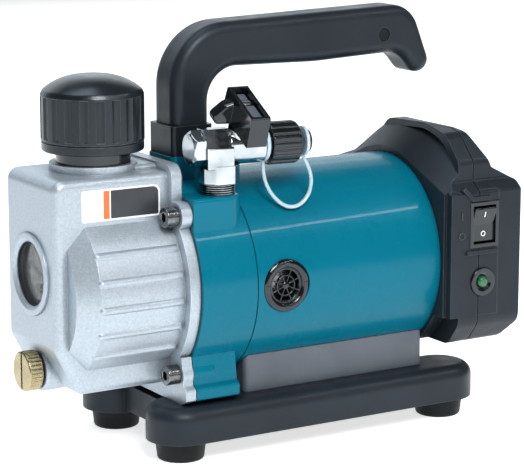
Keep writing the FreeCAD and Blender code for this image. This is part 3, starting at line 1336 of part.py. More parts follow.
def dust_cap():
    """Ribbed cap on the flare port, with a grooved end for its tether."""
    owner = body("dust_cap_body")
    end = "dust_cap_start + dust_cap_length"
    flat = outline(sketch(owner, "dust_cap_section", "XZ_Plane"), [
        ("5.85", "dust_cap_start"),
        ("dust_cap_radius", "dust_cap_start", "0.8"),
        ("dust_cap_radius", "%s - 3" % end, "2"),
        ("dust_cap_radius - 3.4", end, "1"),
        ("4.2", end),
        ("4.2", "%s + groove_width" % end),
        ("6", "%s + groove_width" % end, "0.5"),
        ("6", "%s + groove_width + 2.2" % end, "1"),
        ("0", "%s + groove_width + 2.2" % end),
        ("0", "%s - 3.2" % end),
        ("5.85", "%s - 3.2" % end),
    ])
    revolve(owner, "dust_cap_turned", flat)
    rib = circle(sketch(owner, "dust_cap_flute_outline", "XY_Plane", "dust_cap_start - 0.2"),
                 "dust_cap_radius + 0.75", "0", "1.35")
    flute = pocket(owner, "dust_cap_flute", rib, "dust_cap_length - 2.6", flip=True)
    repeat(owner, "dust_cap_flutes", flute, "Z_Axis", "18")
    owner.Placement = FreeCAD.Placement(Vector(), TURN["x"])
    shell = document.addObject("Part::Compound", "dust_cap_set")
    shell.Links = [owner]
    node("dust_cap", seat_valve(shell))
    node("cap_liner", seat_valve(cylinder_set("cap_liner_disc", "5.6", "0.9", ("%s - 4.2" % end, "0", "0"))))


def cylinder_set(name, radius, length, at):
    """Cylinder along X held in a compound, so that the whole can be seated on the valve."""
    holder = document.addObject("Part::Compound", name + "_set")
    holder.Links = [cylinder(name, radius, length, at, "x")]
    return holder


# Route of the dust cap's tether in the valve's own frame, from the neck ring to the cap ring.
TETHER_ROUTE = [
    (24.6, -0.6, -8.6),
    (24.4, -1.2, -14.5),
    (26.0, -2.2, -21.5),
    (30.2, -3.2, -28.0),
    (36.5, -4.0, -32.6),
    (43.6, -3.6, -32.4),
    (49.4, -2.6, -27.2),
    (51.4, -1.6, -20.0),
    (50.0, -0.8, -13.2),
    (46.9, 0.0, -7.3),
]


def route_path(points):
    """Straight runs joined by the largest tangent arcs that the runs allow."""
    corners = [Vector(*point) for point in points]
    edges = []
    start = corners[0]
    radii = []
    for before, corner, after in zip(corners, corners[1:], corners[2:]):
        back = (before - corner).normalize()
        ahead = (after - corner).normalize()
        turn = math.pi - back.getAngle(ahead)
        reach = 0.45 * min((before - corner).Length, (after - corner).Length)
        radius = reach / math.tan(turn / 2)
        radii.append(radius)
        first, last = corner + back * reach, corner + ahead * reach
        crown = corner + (back + ahead).normalize() * (radius / math.cos(turn / 2) - radius)
        edges.append(Part.LineSegment(start, first).toShape())
        edges.append(Part.Arc(first, crown, last).toShape())
        start = last
    edges.append(Part.LineSegment(start, corners[-1]).toShape())
    return Part.Wire(edges), radii


def cap_tether():
    """Soft strap that keeps the dust cap on the valve, with a ring at each end."""
    path, radii = route_path(TETHER_ROUTE)
    radius = SIZES["tether_radius"]
    start = path.Edges[0]
    section = Part.Wire(Part.Circle(Vector(*TETHER_ROUTE[0]), start.tangentAt(start.FirstParameter),
                                    radius).toShape())
    strap = path.makePipeShell([section], True, True)
    expected = math.pi * radius ** 2 * path.Length
    print("tether length %.1f mm, tightest arc %.1f mm, volume %.1f of %.1f mm3"
          % (path.Length, min(radii), strap.Volume, expected))
    piece = document.addObject("Part::Feature", "cap_tether_strap")
    piece.Shape = strap
    node("cap_tether", seat_valve(piece))
    end = "dust_cap_start + dust_cap_length"
    rings = [tube("tether_ring_neck", "8.8", "7.15", "1.8", ("23.6", "0", "0"), "x"),
             tube("tether_ring_cap", "7.6", "4.4", "1.5", ("%s + groove_width - 1.65" % end, "0", "0"), "x")]
    node("tether_rings", seat_valve(group("tether_rings_pair", rings)))


MAKERS = [base_frame, feet_and_screws, motor_cradle, oil_casing, casing_gasket, casing_bolts,
          sight_glass, drain, filler, pump_bracket, vane_pump, motor_cover, vent_grilles,
          motor, rear_housing, housing_screws, switch_and_lamp, electrics, handle, valve, dust_cap,
          cap_tether]

if __name__ == "__main__":
    for maker in MAKERS:
        maker()
    document.recompute()
    failed = [item.Name for item in document.Objects if {"Invalid", "Error"} & set(item.State)]
    failed += [label for label, piece in NODES.items() if piece.Shape.isNull() or not piece.Shape.isValid()]
    if failed:
        raise RuntimeError("failed pieces: " + ", ".join(failed))
    os.makedirs("parts", exist_ok=True)
    for label, piece in NODES.items():
        piece.Shape.exportStep("parts/%s.step" % label)
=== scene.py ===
import json
import math

import bmesh
import bpy
from mathutils import Matrix, Vector
from mathutils.bvhtree import BVHTree


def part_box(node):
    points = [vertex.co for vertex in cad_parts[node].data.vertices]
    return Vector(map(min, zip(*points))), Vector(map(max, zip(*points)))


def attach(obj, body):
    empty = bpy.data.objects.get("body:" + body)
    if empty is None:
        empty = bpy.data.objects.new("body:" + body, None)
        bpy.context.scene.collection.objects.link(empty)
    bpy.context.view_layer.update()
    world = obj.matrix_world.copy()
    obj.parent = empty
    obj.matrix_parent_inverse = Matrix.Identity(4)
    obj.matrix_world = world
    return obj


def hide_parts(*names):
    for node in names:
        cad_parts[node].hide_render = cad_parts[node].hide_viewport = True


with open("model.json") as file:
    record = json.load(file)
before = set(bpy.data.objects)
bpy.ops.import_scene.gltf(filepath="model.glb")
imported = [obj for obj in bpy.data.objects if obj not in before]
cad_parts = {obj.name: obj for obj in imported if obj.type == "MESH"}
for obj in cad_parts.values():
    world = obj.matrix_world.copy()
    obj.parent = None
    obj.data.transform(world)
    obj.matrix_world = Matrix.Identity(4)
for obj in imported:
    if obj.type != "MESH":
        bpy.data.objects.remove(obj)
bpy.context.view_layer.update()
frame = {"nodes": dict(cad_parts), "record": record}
nodes = frame["nodes"]
scene = bpy.context.scene
MM = 0.001

# Camera: angles in degrees, lens and sensor in mm, distance and target in metres.
CAMERA_AZIMUTH = -31.25
CAMERA_ELEVATION = 11.387
CAMERA_DISTANCE = 1.156515
CAMERA_TARGET = Vector((0.008, 0.0, 0.101618))
CAMERA_LENS = 152.87
CAMERA_SENSOR = 36.0

# The inlet valve's own frame, its spindle's place along it (mm) and its lever's lean (degrees).
VALVE_PLACE = Vector((-0.0373, -0.0320, 0.1546))
VALVE_TURN = -6.0
VALVE = Matrix.Translation(VALVE_PLACE) @ Matrix.Rotation(math.radians(VALVE_TURN), 4, "Z")
SPINDLE = 10.7
LEAN = 25.0

# A ray from here, outside the near side, runs along +Y to find a surface to put a mark on.
NEAR_SIDE = -0.2
INWARD = Vector((0, 1, 0))

# Each mark stands off the rocker's middle by this share of its height; the marks on the housing
# are this far (m) beyond the rocker's edge.
MARK_REACH = 0.27
MARK_GAP = 0.0075

# Edges sharper than these angles (degrees) are rounded by a bevel, or kept sharp in the shading.
ROUND_ABOVE = 35.0
SHARP_ABOVE = 38.0


# ---------------------------------------------------------------- camera and light

def look(place, target):
    """Rotation that points an object's -Z axis from place to target."""
    return (target - place).to_track_quat("-Z", "Y").to_euler()


def make_camera():
    """Camera placed by the fit to the photograph."""
    azimuth = math.radians(CAMERA_AZIMUTH)
    elevation = math.radians(CAMERA_ELEVATION)
    back = Vector((math.sin(azimuth) * math.cos(elevation),
                   -math.cos(azimuth) * math.cos(elevation),
                   math.sin(elevation)))
    lens = bpy.data.cameras.new("camera")
    lens.sensor_width = CAMERA_SENSOR
    lens.sensor_fit = "HORIZONTAL"
    lens.lens = CAMERA_LENS
    camera = bpy.data.objects.new("camera", lens)
    scene.collection.objects.link(camera)
    camera.location = CAMERA_TARGET + back * CAMERA_DISTANCE
    camera.rotation_euler = look(camera.location, CAMERA_TARGET)
    scene.camera = camera


def softbox(name, place, target, wide, tall, power, colour=(1.0, 1.0, 1.0)):
    """Rectangular light of wide by tall metres, in watts, that faces its target."""
    light = bpy.data.lights.new(name, "AREA")
    light.shape = "RECTANGLE"
    light.size = wide
    light.size_y = tall
    light.energy = power
    light.color = colour
    lamp = bpy.data.objects.new(name, light)
    scene.collection.objects.link(lamp)
    lamp.location = place
    lamp.rotation_euler = look(Vector(place), Vector(target))


def make_studio():
    """Dim bluish surroundings and the softboxes that draw the highlights."""
    world = bpy.data.worlds.new("studio")
    scene.world = world
    world.use_nodes = True
    sky = world.node_tree.nodes["Background"]
    sky.inputs["Color"].default_value = (0.90, 0.94, 1.0, 1.0)
    sky.inputs["Strength"].default_value = 0.13
    middle = (0.0, 0.0, 0.09)
    softbox("key", (-0.28, -1.15, 1.12), middle, 0.60, 0.60, 20.0, (1.0, 0.99, 0.97))
    softbox("front", (0.35, -1.70, 0.75), middle, 0.90, 0.50, 2.4)
    softbox("back", (0.25, 1.25, 1.10), middle, 1.80, 0.60, 3.0, (0.90, 0.96, 1.0))
    softbox("backdrop", (0.30, 2.00, 0.78), middle, 3.00, 1.10, 12.0, (0.84, 0.93, 1.0))
    softbox("top", (-0.35, 0.10, 1.50), middle, 0.90, 0.90, 8.0, (0.80, 0.92, 1.0))
    softbox("left", (-1.40, 0.15, 0.35), middle, 0.70, 0.60, 0.5, (0.78, 0.91, 1.0))
    softbox("strip", (0.76, -0.74, 1.05), middle, 1.20, 0.05, 3.0)
    scene.view_settings.view_transform = "Standard"


# ---------------------------------------------------------------- materials

# Rays for each rounded edge or corner of painted shade.
SAMPLES = 6

# Cosine between the rounded and the plain normal, on an edge that takes the full edge tone
# (part wear, part painted highlight) and on a face.
ON_EDGE = 0.72
ON_FACE = 0.985

# Noise that breaks up the edge tone of wear and painted highlight: its patches in a metre, and
# the least of the edge tone that it leaves.
RAGGED_SCALE = 420.0
RAGGED_LOW = 0.35

# Share of open air where the painted corner shade is full, and where there is none.
IN_CORNER = 0.15
IN_OPEN = 0.85

# The edge tone of wear and painted highlight reaches this many times the edge rounding;
# roughness varies this much finer than colour.
WEAR_HIGHLIGHT_REACH = 1.6
ROUGH_FINER = 6.0


class Paint:
    """A Principled material that is built up from procedural layers in object coordinates."""

    def __init__(self, name):
        self.material = bpy.data.materials.new(name)
        self.material.use_nodes = True
        self.tree = self.material.node_tree
        self.shader = self.tree.nodes["Principled BSDF"]
        self.place = self.add("ShaderNodeTexCoord").outputs["Object"]

    def add(self, kind, **settings):
        """Add a shader node of this kind and set its properties."""
        made = self.tree.nodes.new(kind)
        for key, setting in settings.items():
            setattr(made, key, setting)
        return made

    def link(self, source, target):
        self.tree.links.new(source, target)

    def set(self, **values):
        """Set constants on the shader; an underscore stands for a space in the input's name."""
        for key, number in values.items():
            self.shader.inputs[key.replace("_", " ")].default_value = number

    def noise(self, scale, detail=3.0):
        """Noise with about this many patches in a metre."""
        made = self.add("ShaderNodeTexNoise")
        made.inputs["Scale"].default_value = scale
        made.inputs["Detail"].default_value = detail
        self.link(self.place, made.inputs["Vector"])
        return made.outputs["Fac"]

    def span(self, source, low, high, start=0.3, end=0.7):
        """Map start..end of a texture on low..high."""
        made = self.add("ShaderNodeMapRange")
        made.inputs["From Min"].default_value = start
        made.inputs["From Max"].default_value = end
        made.inputs["To Min"].default_value = low
        made.inputs["To Max"].default_value = high
        self.link(source, made.inputs["Value"])
        return made.outputs["Result"]

    def blend(self, factor, first, second):
        """Mix two colours, each a tuple or the output of a node."""
        made = self.add("ShaderNodeMix", data_type="RGBA")
        for socket, colour in (("A", first), ("B", second)):
            slot = [s for s in made.inputs if s.name == socket and s.type == "RGBA"][0]
            if isinstance(colour, tuple):
                slot.default_value = (*colour, 1.0)
            else:
                self.link(colour, slot)
        self.link(factor, made.inputs["Factor"])
        return [s for s in made.outputs if s.type == "RGBA"][0]

    def soft_normal(self, radius):
        """Normal that rounds the edges in the shading."""
        made = self.add("ShaderNodeBevel", samples=SAMPLES)
        made.inputs["Radius"].default_value = radius
        return made.outputs["Normal"]

    def edge(self, radius, amount):
        """Mask that is high on outer and inner edges, broken up by noise."""
        plain = self.add("ShaderNodeNewGeometry").outputs["Normal"]
        dot = self.add("ShaderNodeVectorMath", operation="DOT_PRODUCT")
        self.link(self.soft_normal(radius), dot.inputs[0])
        self.link(plain, dot.inputs[1])
        mask = self.span(dot.outputs["Value"], amount, 0.0, ON_EDGE, ON_FACE)
        ragged = self.add("ShaderNodeMath", operation="MULTIPLY")
        self.link(mask, ragged.inputs[0])
        self.link(self.span(self.noise(RAGGED_SCALE), RAGGED_LOW, 1.0), ragged.inputs[1])
        return ragged.outputs["Value"]

    def hollow(self, reach, amount):
        """Mask that is high in corners and gaps narrower than reach."""
        open_air = self.add("ShaderNodeAmbientOcclusion", samples=SAMPLES)
        open_air.inputs["Distance"].default_value = reach
        return self.span(open_air.outputs["AO"], amount, 0.0, IN_CORNER, IN_OPEN)

    def bump(self, height, depth, normal=None):
        """Normal of a surface that is raised by up to depth metres where height is 1."""
        made = self.add("ShaderNodeBump")
        made.inputs["Strength"].default_value = 1.0
        made.inputs["Distance"].default_value = depth
        self.link(height, made.inputs["Height"])
        if normal is not None:
            self.link(normal, made.inputs["Normal"])
        return made.outputs["Normal"]


def finish(name, dark, light, rough, patch=30.0, metal=0.0, grain=2600.0, depth=0.00003,
           wave=None, rounding=0.0005, worn=None, grime=None, **sockets):
    """One surface: two tones in patches, fine grain, soft edges, an edge tone of wear and painted
    highlight, and painted shade in the corners.

    rough is the lowest and highest roughness, wave is (scale, depth) of slow dents; the edge tone
    is (colour, amount), part wear and part painted highlight, and the corner tone is
    (colour, reach, amount), painted shade in the corners.
    (colour, amount) on the edges, and grime is (colour, reach, amount) in the corners.
    """
    paint = Paint(name)
    tone = paint.blend(paint.span(paint.noise(patch, 4.0), 0.0, 1.0), dark, light)
    # Lighter tone on outer and inner edges: part wear, part painted highlight.
    if worn is not None:
        tone = paint.blend(paint.edge(rounding * WEAR_HIGHLIGHT_REACH, worn[1]), tone, worn[0])
    # Painted shade: a darker tone in corners and gaps, from ambient occlusion.
    if grime is not None:
        tone = paint.blend(paint.hollow(grime[1], grime[2]), tone, grime[0])
    paint.link(tone, paint.shader.inputs["Base Color"])
    paint.link(paint.span(paint.noise(patch * ROUGH_FINER), rough[0], rough[1]),
               paint.shader.inputs["Roughness"])
    normal = paint.soft_normal(rounding) if rounding else None
    if wave is not None:
        normal = paint.bump(paint.noise(wave[0], 2.0), wave[1], normal)
    if grain:
        normal = paint.bump(paint.noise(grain, 2.0), depth, normal)
    if normal is not None:
        paint.link(normal, paint.shader.inputs["Normal"])
    paint.set(Metallic=metal, **sockets)
    return paint.material


def make_finishes():
    """Every finish of this machine, by name."""
    slate = (0.085, 0.105, 0.128)
    cool = (0.78, 0.90, 1.0, 1.0)
    shade = (0.06, 0.075, 0.09)
    black = (0.001, 0.0012, 0.0016)
    made = {}

    def add(name, *tones, **settings):
        made[name] = finish(name, *tones, **settings)

    # In every finish below the corner tone is painted shade, and the edge tone is part wear and
    # part painted highlight.
    add("teal_paint", (0.0003, 0.126, 0.194), (0.0004, 0.136, 0.210), (0.24, 0.32), 14.0,
        grain=0.0, wave=(240.0, 0.000004), rounding=0.0006,
        grime=((0.0004, 0.030, 0.052), 0.004, 0.8), Specular_IOR_Level=0.20,
        Specular_Tint=(0.3, 0.85, 1.0, 1.0), Coat_Weight=0.16, Coat_Roughness=0.03)
    add("cast_aluminium", (0.37, 0.43, 0.485), (0.47, 0.535, 0.595), (0.30, 0.40), 900.0,
        metal=0.55, grain=1300.0, depth=0.00016, rounding=0.0004, worn=((0.92, 0.96, 1.0), 0.8),
        grime=(shade, 0.005, 0.75))
    add("black_plastic", (0.0042, 0.0058, 0.0080), (0.0075, 0.0102, 0.0135), (0.28, 0.38), 22.0,
        grain=2000.0, depth=0.00005, rounding=0.0005, worn=(slate, 0.6), grime=(black, 0.004, 0.7),
        Specular_IOR_Level=0.38, Specular_Tint=cool)
    add("slate_plastic", (0.0095, 0.0125, 0.0165), (0.0155, 0.0195, 0.0250), (0.32, 0.44), 22.0,
        grain=1700.0, depth=0.00006, rounding=0.0006, worn=(slate, 0.7), grime=(black, 0.004, 0.8),
        Specular_IOR_Level=0.30, Specular_Tint=cool)
    # The cap's pale edge tone paints highlights along its flutes.
    add("cap_plastic", (0.0042, 0.0058, 0.0080), (0.0075, 0.0102, 0.0135), (0.26, 0.36), 22.0,
        grain=2000.0, depth=0.00004, rounding=0.0004, worn=((0.17, 0.20, 0.235), 1.0),
        grime=(black, 0.003, 0.8), Specular_IOR_Level=0.42, Specular_Tint=cool, Coat_Weight=0.2,
        Coat_Roughness=0.18)
    add("glossy_black", (0.0018, 0.0024, 0.0032), (0.003, 0.004, 0.005), (0.10, 0.16), 40.0,
        grain=900.0, depth=0.000006, rounding=0.0006, Coat_Weight=0.45, Coat_Roughness=0.04,
        Specular_Tint=cool)
    add("black_rubber", (0.0025, 0.0033, 0.0045), (0.0055, 0.0070, 0.0090), (0.42, 0.55), 60.0,
        grain=2000.0, depth=0.00006, rounding=0.0008, Specular_IOR_Level=0.20)
    add("grey_plastic", (0.078, 0.092, 0.114), (0.098, 0.114, 0.138), (0.40, 0.52), 60.0,
        grain=1500.0, depth=0.00007, rounding=0.0008, grime=(shade, 0.004, 0.6))
    add("gasket_paper", (0.045, 0.045, 0.045), (0.075, 0.075, 0.072), (0.7, 0.85), 120.0)
    add("dark_steel", (0.10, 0.105, 0.11), (0.24, 0.245, 0.25), (0.16, 0.26), 260.0, metal=0.95,
        depth=0.00002, rounding=0.0004, worn=((0.75, 0.76, 0.78), 0.8), grime=(black, 0.003, 0.9))
    add("steel", (0.42, 0.43, 0.45), (0.56, 0.57, 0.59), (0.24, 0.36), 80.0, metal=1.0,
        grime=(shade, 0.003, 0.7))
    add("bearing_steel", (0.66, 0.67, 0.69), (0.78, 0.79, 0.81), (0.10, 0.18), 60.0, metal=1.0,
        depth=0.00001)
    add("nickel", (0.34, 0.38, 0.41), (0.60, 0.64, 0.67), (0.10, 0.20), 60.0, metal=1.0,
        grain=900.0, depth=0.00001, wave=(150.0, 0.00010), rounding=0.0006,
        worn=((0.95, 0.97, 0.98), 0.5), grime=((0.02, 0.025, 0.03), 0.005, 0.9))
    add("dark_nickel", (0.16, 0.18, 0.19), (0.34, 0.37, 0.39), (0.16, 0.26), 300.0, metal=1.0,
        grain=900.0, depth=0.00001, rounding=0.0, grime=((0.01, 0.012, 0.015), 0.003, 0.9))
    add("cast_iron", (0.16, 0.16, 0.17), (0.24, 0.24, 0.25), (0.4, 0.55), 70.0, metal=0.9)
    add("ferrite", (0.04, 0.04, 0.045), (0.08, 0.08, 0.085), (0.5, 0.65), 70.0, metal=0.3)
    add("brass", (0.34, 0.275, 0.155), (0.47, 0.395, 0.24), (0.22, 0.34), 140.0, metal=1.0,
        rounding=0.0003, worn=((0.92, 0.82, 0.56), 0.6), grime=((0.08, 0.05, 0.02), 0.002, 0.8))
    add("copper", (0.60, 0.26, 0.13), (0.74, 0.36, 0.20), (0.25, 0.4), 120.0, metal=1.0)
    add("carbon", (0.02, 0.02, 0.02), (0.04, 0.04, 0.04), (0.5, 0.65), 120.0)
    add("white_polymer", (0.70, 0.70, 0.67), (0.82, 0.82, 0.80), (0.5, 0.65), 70.0)
    add("window_glass", (0.93, 0.95, 0.97), (0.96, 0.98, 0.99), (0.0, 0.02), 60.0, grain=0.0,
        rounding=0.0, Transmission_Weight=1.0, IOR=1.14, Alpha=0.4)
    add("window_well", (0.030, 0.036, 0.042), (0.050, 0.058, 0.066), (0.30, 0.42), 240.0,
        metal=0.4, depth=0.00002, rounding=0.0)
    add("green_lens", (0.004, 0.075, 0.022), (0.008, 0.130, 0.040), (0.06, 0.12), 300.0,
        depth=0.000004, rounding=0.0005, Coat_Weight=0.6, Coat_Roughness=0.04)
    add("circuit_board", (0.01, 0.14, 0.05), (0.02, 0.20, 0.08), (0.35, 0.5), 200.0)
    add("pale_strap", (0.38, 0.51, 0.58), (0.47, 0.60, 0.67), (0.16, 0.24), 60.0, grain=0.0,
        rounding=0.0, Coat_Weight=0.5, Coat_Roughness=0.06)
    add("label_white", (0.80, 0.82, 0.84), (0.88, 0.89, 0.90), (0.35, 0.45), 100.0, rounding=0.0,
        depth=0.000004)
    add("label_orange", (0.74, 0.13, 0.02), (0.80, 0.17, 0.03), (0.35, 0.45), 100.0, rounding=0.0,
        depth=0.000004)
    add("label_dark", (0.018, 0.022, 0.030), (0.030, 0.035, 0.043), (0.32, 0.42), 100.0,
        rounding=0.0, depth=0.000004)
    add("white_mark", (0.78, 0.80, 0.81), (0.88, 0.89, 0.90), (0.4, 0.5), 100.0, rounding=0.0,
        depth=0.000004)
    return made


def dress(finishes):
    """Give each CAD node the material of its slot, or its own shade of black plastic."""
    tones = {"exhaust_cap": "cap_plastic",
             "base_frame": "slate_plastic",
             "handle_grip": "slate_plastic",
             "rear_housing_front": "slate_plastic",
             "rear_housing_back": "slate_plastic"}
    for part in frame["record"]["subparts"]:
        mesh = nodes[part["node"]].data
        mesh.materials.clear()
        mesh.materials.append(finishes[tones.get(part["node"], part["material_slot"])])


# ---------------------------------------------------------------- mesh helpers

def piece(name, mesh, material, body, where=None, bevel=0.0, smooth=True):
    """Turn a bmesh into an object that rides on a body."""
    if where is not None:
        mesh.transform(where)
    bmesh.ops.recalc_face_normals(mesh, faces=mesh.faces)
    data = bpy.data.meshes.new(name)
    mesh.to_mesh(data)
    mesh.free()
    data.materials.append(material)
    made = bpy.data.objects.new(name, data)
    scene.collection.objects.link(made)
    if bevel:
        rounded = made.modifiers.new("rounded", "BEVEL")
        rounded.width = bevel
        rounded.segments = 3
        rounded.limit_method = "ANGLE"
        rounded.angle_limit = math.radians(ROUND_ABOVE)
    if smooth:
        data.shade_smooth()
        data.set_sharp_from_angle(angle=math.radians(SHARP_ABOVE))
    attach(made, body)
    return made


def lathe(mesh, profile, steps=72):
    """Add a closed ring whose section is the profile of (radius, height) points, in millimetres."""
    rings = []
    for step in range(steps):
        turn = 2.0 * math.pi * step / steps
        rings.append([mesh.verts.new((radius * math.cos(turn) * MM, radius * math.sin(turn) * MM,
                                      height * MM))
                      for radius, height in profile])
    for step in range(steps):
        here, there = rings[step], rings[(step + 1) % steps]
        for point in range(len(profile)):
            after = (point + 1) % len(profile)
            mesh.faces.new((here[point], there[point], there[after], here[after]))


def prism(mesh, outline, low, high):
    """Add a block with this outline of (x, y) points, between two heights, in millimetres."""
    floor = [mesh.verts.new((x * MM, y * MM, low * MM)) for x, y in outline]
    roof = [mesh.verts.new((x * MM, y * MM, high * MM)) for x, y in outline]
    mesh.faces.new(floor[::-1])
    mesh.faces.new(roof)
    for index in range(len(outline)):
        after = (index + 1) % len(outline)
        mesh.faces.new((floor[index], floor[after], roof[after], roof[index]))


def spokes(mesh, count, start, outline, low, high):
    """Add prisms evenly round the Z axis; the first is turned by start degrees."""
    for step in range(count):
        arm = bmesh.new()
        prism(arm, outline, low, high)
        arm.transform(Matrix.Rotation(math.radians(360.0 / count * step + start), 4, "Z"))
        holder = bpy.data.meshes.new("arm")
        arm.to_mesh(holder)
        arm.free()
        mesh.from_mesh(holder)
        bpy.data.meshes.remove(holder)


def rounded_outline(left, low, right, high, radii, steps=6):
    """Rectangle with one corner radius each for: left low, right low, right high, left high."""
    corners = ((left, low, 180.0), (right, low, 270.0), (right, high, 0.0), (left, high, 90.0))
    points = []
    for (x, y, start), radius in zip(corners, radii):
        inward_x = radius if x == left else -radius
        inward_y = radius if y == low else -radius
        for step in range(steps + 1):
            turn = math.radians(start + 90.0 * step / steps)
            points.append((x + inward_x + radius * math.cos(turn),
                           y + inward_y + radius * math.sin(turn)))
    return points


def facing(place, outward, up=Vector((0.0, 0.0, 1.0))):
    """Matrix whose local Z points outward and whose local Y points up, at a place."""
    z = outward.normalized()
    x = up.cross(z).normalized()
    y = z.cross(x)
    turn = Matrix((x, y, z)).transposed().to_4x4()
    return Matrix.Translation(place) @ turn


def surface_of(node):
    """Search tree of a CAD node's triangles, for rays."""
    data = nodes[node].data
    return BVHTree.FromPolygons([v.co for v in data.vertices],
                                [tuple(p.vertices) for p in data.polygons])


# ---------------------------------------------------------------- pieces

def make_tether(finishes):
    """Soft strap, 2 mm thick, that holds the dust cap on the valve; its route is in metres."""
    route = [
        (0.0246, -0.0006, -0.0086),
        (0.0244, -0.0012, -0.0145),
        (0.0260, -0.0022, -0.0215),
        (0.0302, -0.0032, -0.0280),
        (0.0365, -0.0040, -0.0326),
        (0.0436, -0.0036, -0.0324),
        (0.0494, -0.0026, -0.0272),
        (0.0514, -0.0016, -0.0200),
        (0.0500, -0.0008, -0.0132),
        (0.0469, 0.0000, -0.0073),
    ]
    points = [VALVE @ Vector(point) for point in route]
    curve = bpy.data.curves.new("strap", "CURVE")
    curve.dimensions = "3D"
    curve.bevel_depth = 0.001
    curve.bevel_resolution = 5
    curve.use_fill_caps = True
    line = curve.splines.new("NURBS")
    line.points.add(len(points) - 1)
    for control, point in zip(line.points, points):
        control.co = (*point, 1.0)
    line.order_u = 3
    line.use_endpoint_u = True
    line.resolution_u = 12
    curve.materials.append(finishes["pale_strap"])
    strap = bpy.data.objects.new("strap", curve)
    scene.collection.objects.link(strap)
    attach(strap, "machine")
    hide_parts("cap_tether")


def make_grilles(finishes):
    """Round air inlets on both sides of the motor cover: rim, rings, hub, spokes and clips."""
    low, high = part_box("vent_grilles")
    middle_x = (low.x + high.x) / 2
    middle_z = (low.z + high.z) / 2
    radius = (high.x - low.x) / 2 / MM
    rim = [(radius, -3.0), (radius, -1.3), (radius - 0.5, -0.55), (radius - 1.5, -0.1),
           (radius - 2.4, 0.0), (radius - 3.3, -0.25), (radius - 3.9, -0.8),
           (radius - 4.2, -1.7), (radius - 4.3, -3.0)]
    outer_ring = [(9.2, -3.0), (9.2, -1.6), (8.6, -1.4), (7.9, -1.7), (7.9, -3.0)]
    inner_ring = [(5.5, -3.0), (5.5, -1.6), (5.3, -1.4), (4.9, -1.4), (4.7, -1.6), (4.7, -3.0)]
    hub = [(0.02, -3.0), (1.9, -3.0), (1.9, -1.6), (1.6, -1.3), (0.9, -1.1), (0.02, -1.05)]
    spoke = [(1.5, -0.3), (8.2, -0.36), (8.2, 0.36), (1.5, 0.3)]
    clip = [(radius - 3.2, -1.0), (radius - 1.3, -1.2), (radius - 1.3, 1.2), (radius - 3.2, 1.0)]
    sides = (("near", low.y, Vector((0, -1, 0))), ("far", high.y, Vector((0, 1, 0))))
    for name, side, outward in sides:
        mesh = bmesh.new()
        for profile in (rim, outer_ring, inner_ring):
            lathe(mesh, profile)
        lathe(mesh, hub, 32)
        spokes(mesh, 8, 22.5, spoke, -3.0, -1.6)
        spokes(mesh, 4, 0.0, clip, -2.0, 0.0)
        where = facing(Vector((middle_x, side, middle_z)), outward)
        grille = piece("grille_" + name, mesh, finishes["glossy_black"], "machine",
                       where, bevel=0.00015)
        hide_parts("vent_grilles")


def make_label(finishes):
    """Blank label on the side of the oil casing: white field, orange strip and dark block."""
    casing = surface_of("oil_casing")
    centre, normal, _, _ = casing.ray_cast(Vector((-0.0886, NEAR_SIDE, 0.1306)), INWARD)
    where = facing(centre, normal)
    fields = [
        ("label_field", "label_white", "white_polymer", 0.10,
         rounded_outline(-21.4, -7.8, 21.4, 7.8, (1.2, 1.2, 3.4, 1.2))),
        ("label_block", "label_dark", "black_plastic", 0.14,
         rounded_outline(-5.6, -6.9, 20.5, 6.9, (0.3, 0.8, 3.0, 0.3))),
        ("label_strip", "label_orange", "white_polymer", 0.14,
         rounded_outline(-9.6, -6.9, -6.3, 6.9, (0.3, 0.3, 0.3, 0.3))),
    ]
    for name, tone, slot, height, outline in fields:
        mesh = bmesh.new()
        prism(mesh, outline, -0.05, height)
        piece(name, mesh, finishes[tone], "machine", where, smooth=False)


def make_window(finishes):
    """What shows through the oil window: its dark bore, a bright cone, a dark baffle and a plug."""
    low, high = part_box("sight_glass")
    centre = Vector((high.x, (low.y + high.y) / 2, (low.z + high.z) / 2))
    where = facing(centre, Vector((-1, 0, 0)))
    central = Matrix.Identity(4)
    aside = Matrix.Translation((-13.0 * MM, -3.0 * MM, 0.0))
    below = Matrix.Translation((-6.5 * MM, -10.2 * MM, 0.0))
    turned = [
        ("window_wall", "window_well", "black_plastic", central, 72,
         [(15.9, -0.15), (15.9, -4.4), (15.1, -4.4), (15.1, -0.15)]),
        ("window_cone", "bearing_steel", "bearing_steel", aside, 72,
         [(19.0, -5.4), (19.0, -6.4), (3.0, -17.0), (3.0, -16.0), (18.2, -5.4)]),
        ("window_hub", "window_well", "black_plastic", aside, 48,
         [(3.4, -15.4), (3.4, -17.5), (0.05, -17.5), (0.05, -14.8), (2.6, -14.8)]),
        ("window_plug", "glossy_black", "glossy_black", below, 40,
         [(2.9, -6.0), (2.9, -10.0), (0.05, -10.0), (0.05, -7.0), (1.4, -7.0), (1.7, -6.0)]),
    ]
    for name, tone, slot, shift, steps, profile in turned:
        mesh = bmesh.new()
        lathe(mesh, profile, steps)
        mesh.transform(shift)
        piece(name, mesh, finishes[tone], "machine", where)
    mesh = bmesh.new()
    prism(mesh, [(-32, 4.5), (14, -2.5), (14, 15.5), (-32, 15.5)], -6.6, -5.2)
    prism(mesh, [(-32, 3.1), (14, -3.9), (14, -2.9), (-32, 4.1)], -6.2, -4.6)
    piece("window_baffle", mesh, finishes["glossy_black"], "machine", where,
          bevel=0.0002)


def make_stem_thread(finishes):
    """Turns of the pipe thread that show between the valve's nut and the port."""
    low, high, pitch = 131.6, 137.1, 1.1
    inner, root, crest = 8.0, 8.25, 8.85
    profile = [(inner, high), (inner, low)]
    height = low
    while height + pitch <= high + 0.01:
        profile += [(root, height + 0.02), (crest, height + pitch * 0.35),
                    (crest, height + pitch * 0.65)]
        height += pitch
    profile.append((root, high))
    mesh = bmesh.new()
    lathe(mesh, profile)
    piece("stem_thread", mesh, finishes["dark_nickel"], "machine",
          Matrix.Translation((VALVE_PLACE.x, VALVE_PLACE.y, 0.0)))


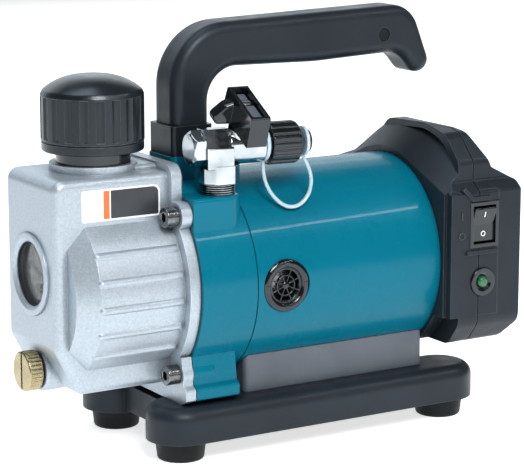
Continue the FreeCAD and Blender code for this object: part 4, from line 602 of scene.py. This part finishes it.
def make_lever_inlay(finishes):
    """Pale ribs in the lever's recess, on both sides of the screw."""
    corners = (0.8, 0.8, 0.8, 0.8)
    mesh = bmesh.new()
    prism(mesh, rounded_outline(-3.0, -15.6, 3.0, -3.4, corners), 23.5, 25.4)
    prism(mesh, rounded_outline(-3.0, 3.4, 3.0, 9.0, corners), 23.5, 24.4)
    lean = Matrix.Rotation(math.radians(LEAN), 4, "X")
    where = VALVE @ Matrix.Translation((SPINDLE * MM, 0.0, 0.0)) @ lean
    piece("lever_inlay", mesh, finishes["grey_plastic"], "lever", where,
          bevel=0.0003)


def mark_line(mesh):
    """Stroke of an I, 3 mm tall."""
    prism(mesh, rounded_outline(-0.3, -1.5, 0.3, 1.5, (0.2, 0.2, 0.2, 0.2), 3), -0.02, 0.06)


def mark_ring(mesh):
    """Ring of an O, 2.9 mm across."""
    lathe(mesh, [(1.45, -0.02), (1.45, 0.06), (0.95, 0.06), (0.95, -0.02)], 40)


def make_marks(finishes):
    """I and O, printed on the rocker and raised beside it."""
    rocker_low, rocker_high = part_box("power_rocker")
    rocker = surface_of("power_rocker")
    housing = surface_of("rear_housing_front")
    across = (rocker_low.x + rocker_high.x) / 2
    middle = (rocker_low.z + rocker_high.z) / 2
    reach = (rocker_high.z - rocker_low.z) * MARK_REACH
    beside = rocker_low.x - MARK_GAP
    printed = Matrix.Identity(4)
    raised = Matrix.Diagonal((1.5, 1.5, 5.0, 1.0))
    places = [
        ("rocker_on", rocker, "rocker", "white_mark", "white_polymer", across, middle + reach,
         mark_line, printed),
        ("rocker_off", rocker, "rocker", "white_mark", "white_polymer", across, middle - reach,
         mark_ring, printed),
        ("housing_on", housing, "machine", "glossy_black", "glossy_black", beside, middle + reach,
         mark_line, raised),
        ("housing_off", housing, "machine", "glossy_black", "glossy_black", beside, middle - reach,
         mark_ring, raised),
    ]
    for name, surface, body, tone, slot, x, z, draw, size in places:
        centre, normal, _, _ = surface.ray_cast(Vector((x, NEAR_SIDE, z)), INWARD)
        mesh = bmesh.new()
        draw(mesh)
        where = facing(centre, normal) @ size
        piece(name, mesh, finishes[tone], body, where, smooth=False)


def make_floor():
    """White ground that runs out of the picture."""
    mesh = bmesh.new()
    bmesh.ops.create_grid(mesh, x_segments=1, y_segments=1, size=20.0)
    data = bpy.data.meshes.new("floor")
    mesh.to_mesh(data)
    mesh.free()
    floor = bpy.data.objects.new("floor", data)
    scene.collection.objects.link(floor)
    paper = finish("floor", (0.90, 0.90, 0.90), (0.93, 0.93, 0.93), (0.75, 0.85), 3.0,
                   depth=0.000001, rounding=0.0,
                   Emission_Color=(1.0, 1.0, 1.0, 1.0), Emission_Strength=0.70)
    data.materials.append(paper)


make_camera()
looks = make_finishes()
make_tether(looks)
make_studio()
dress(looks)
make_grilles(looks)
make_label(looks)
make_window(looks)
make_stem_thread(looks)
make_lever_inlay(looks)
make_marks(looks)
make_floor()
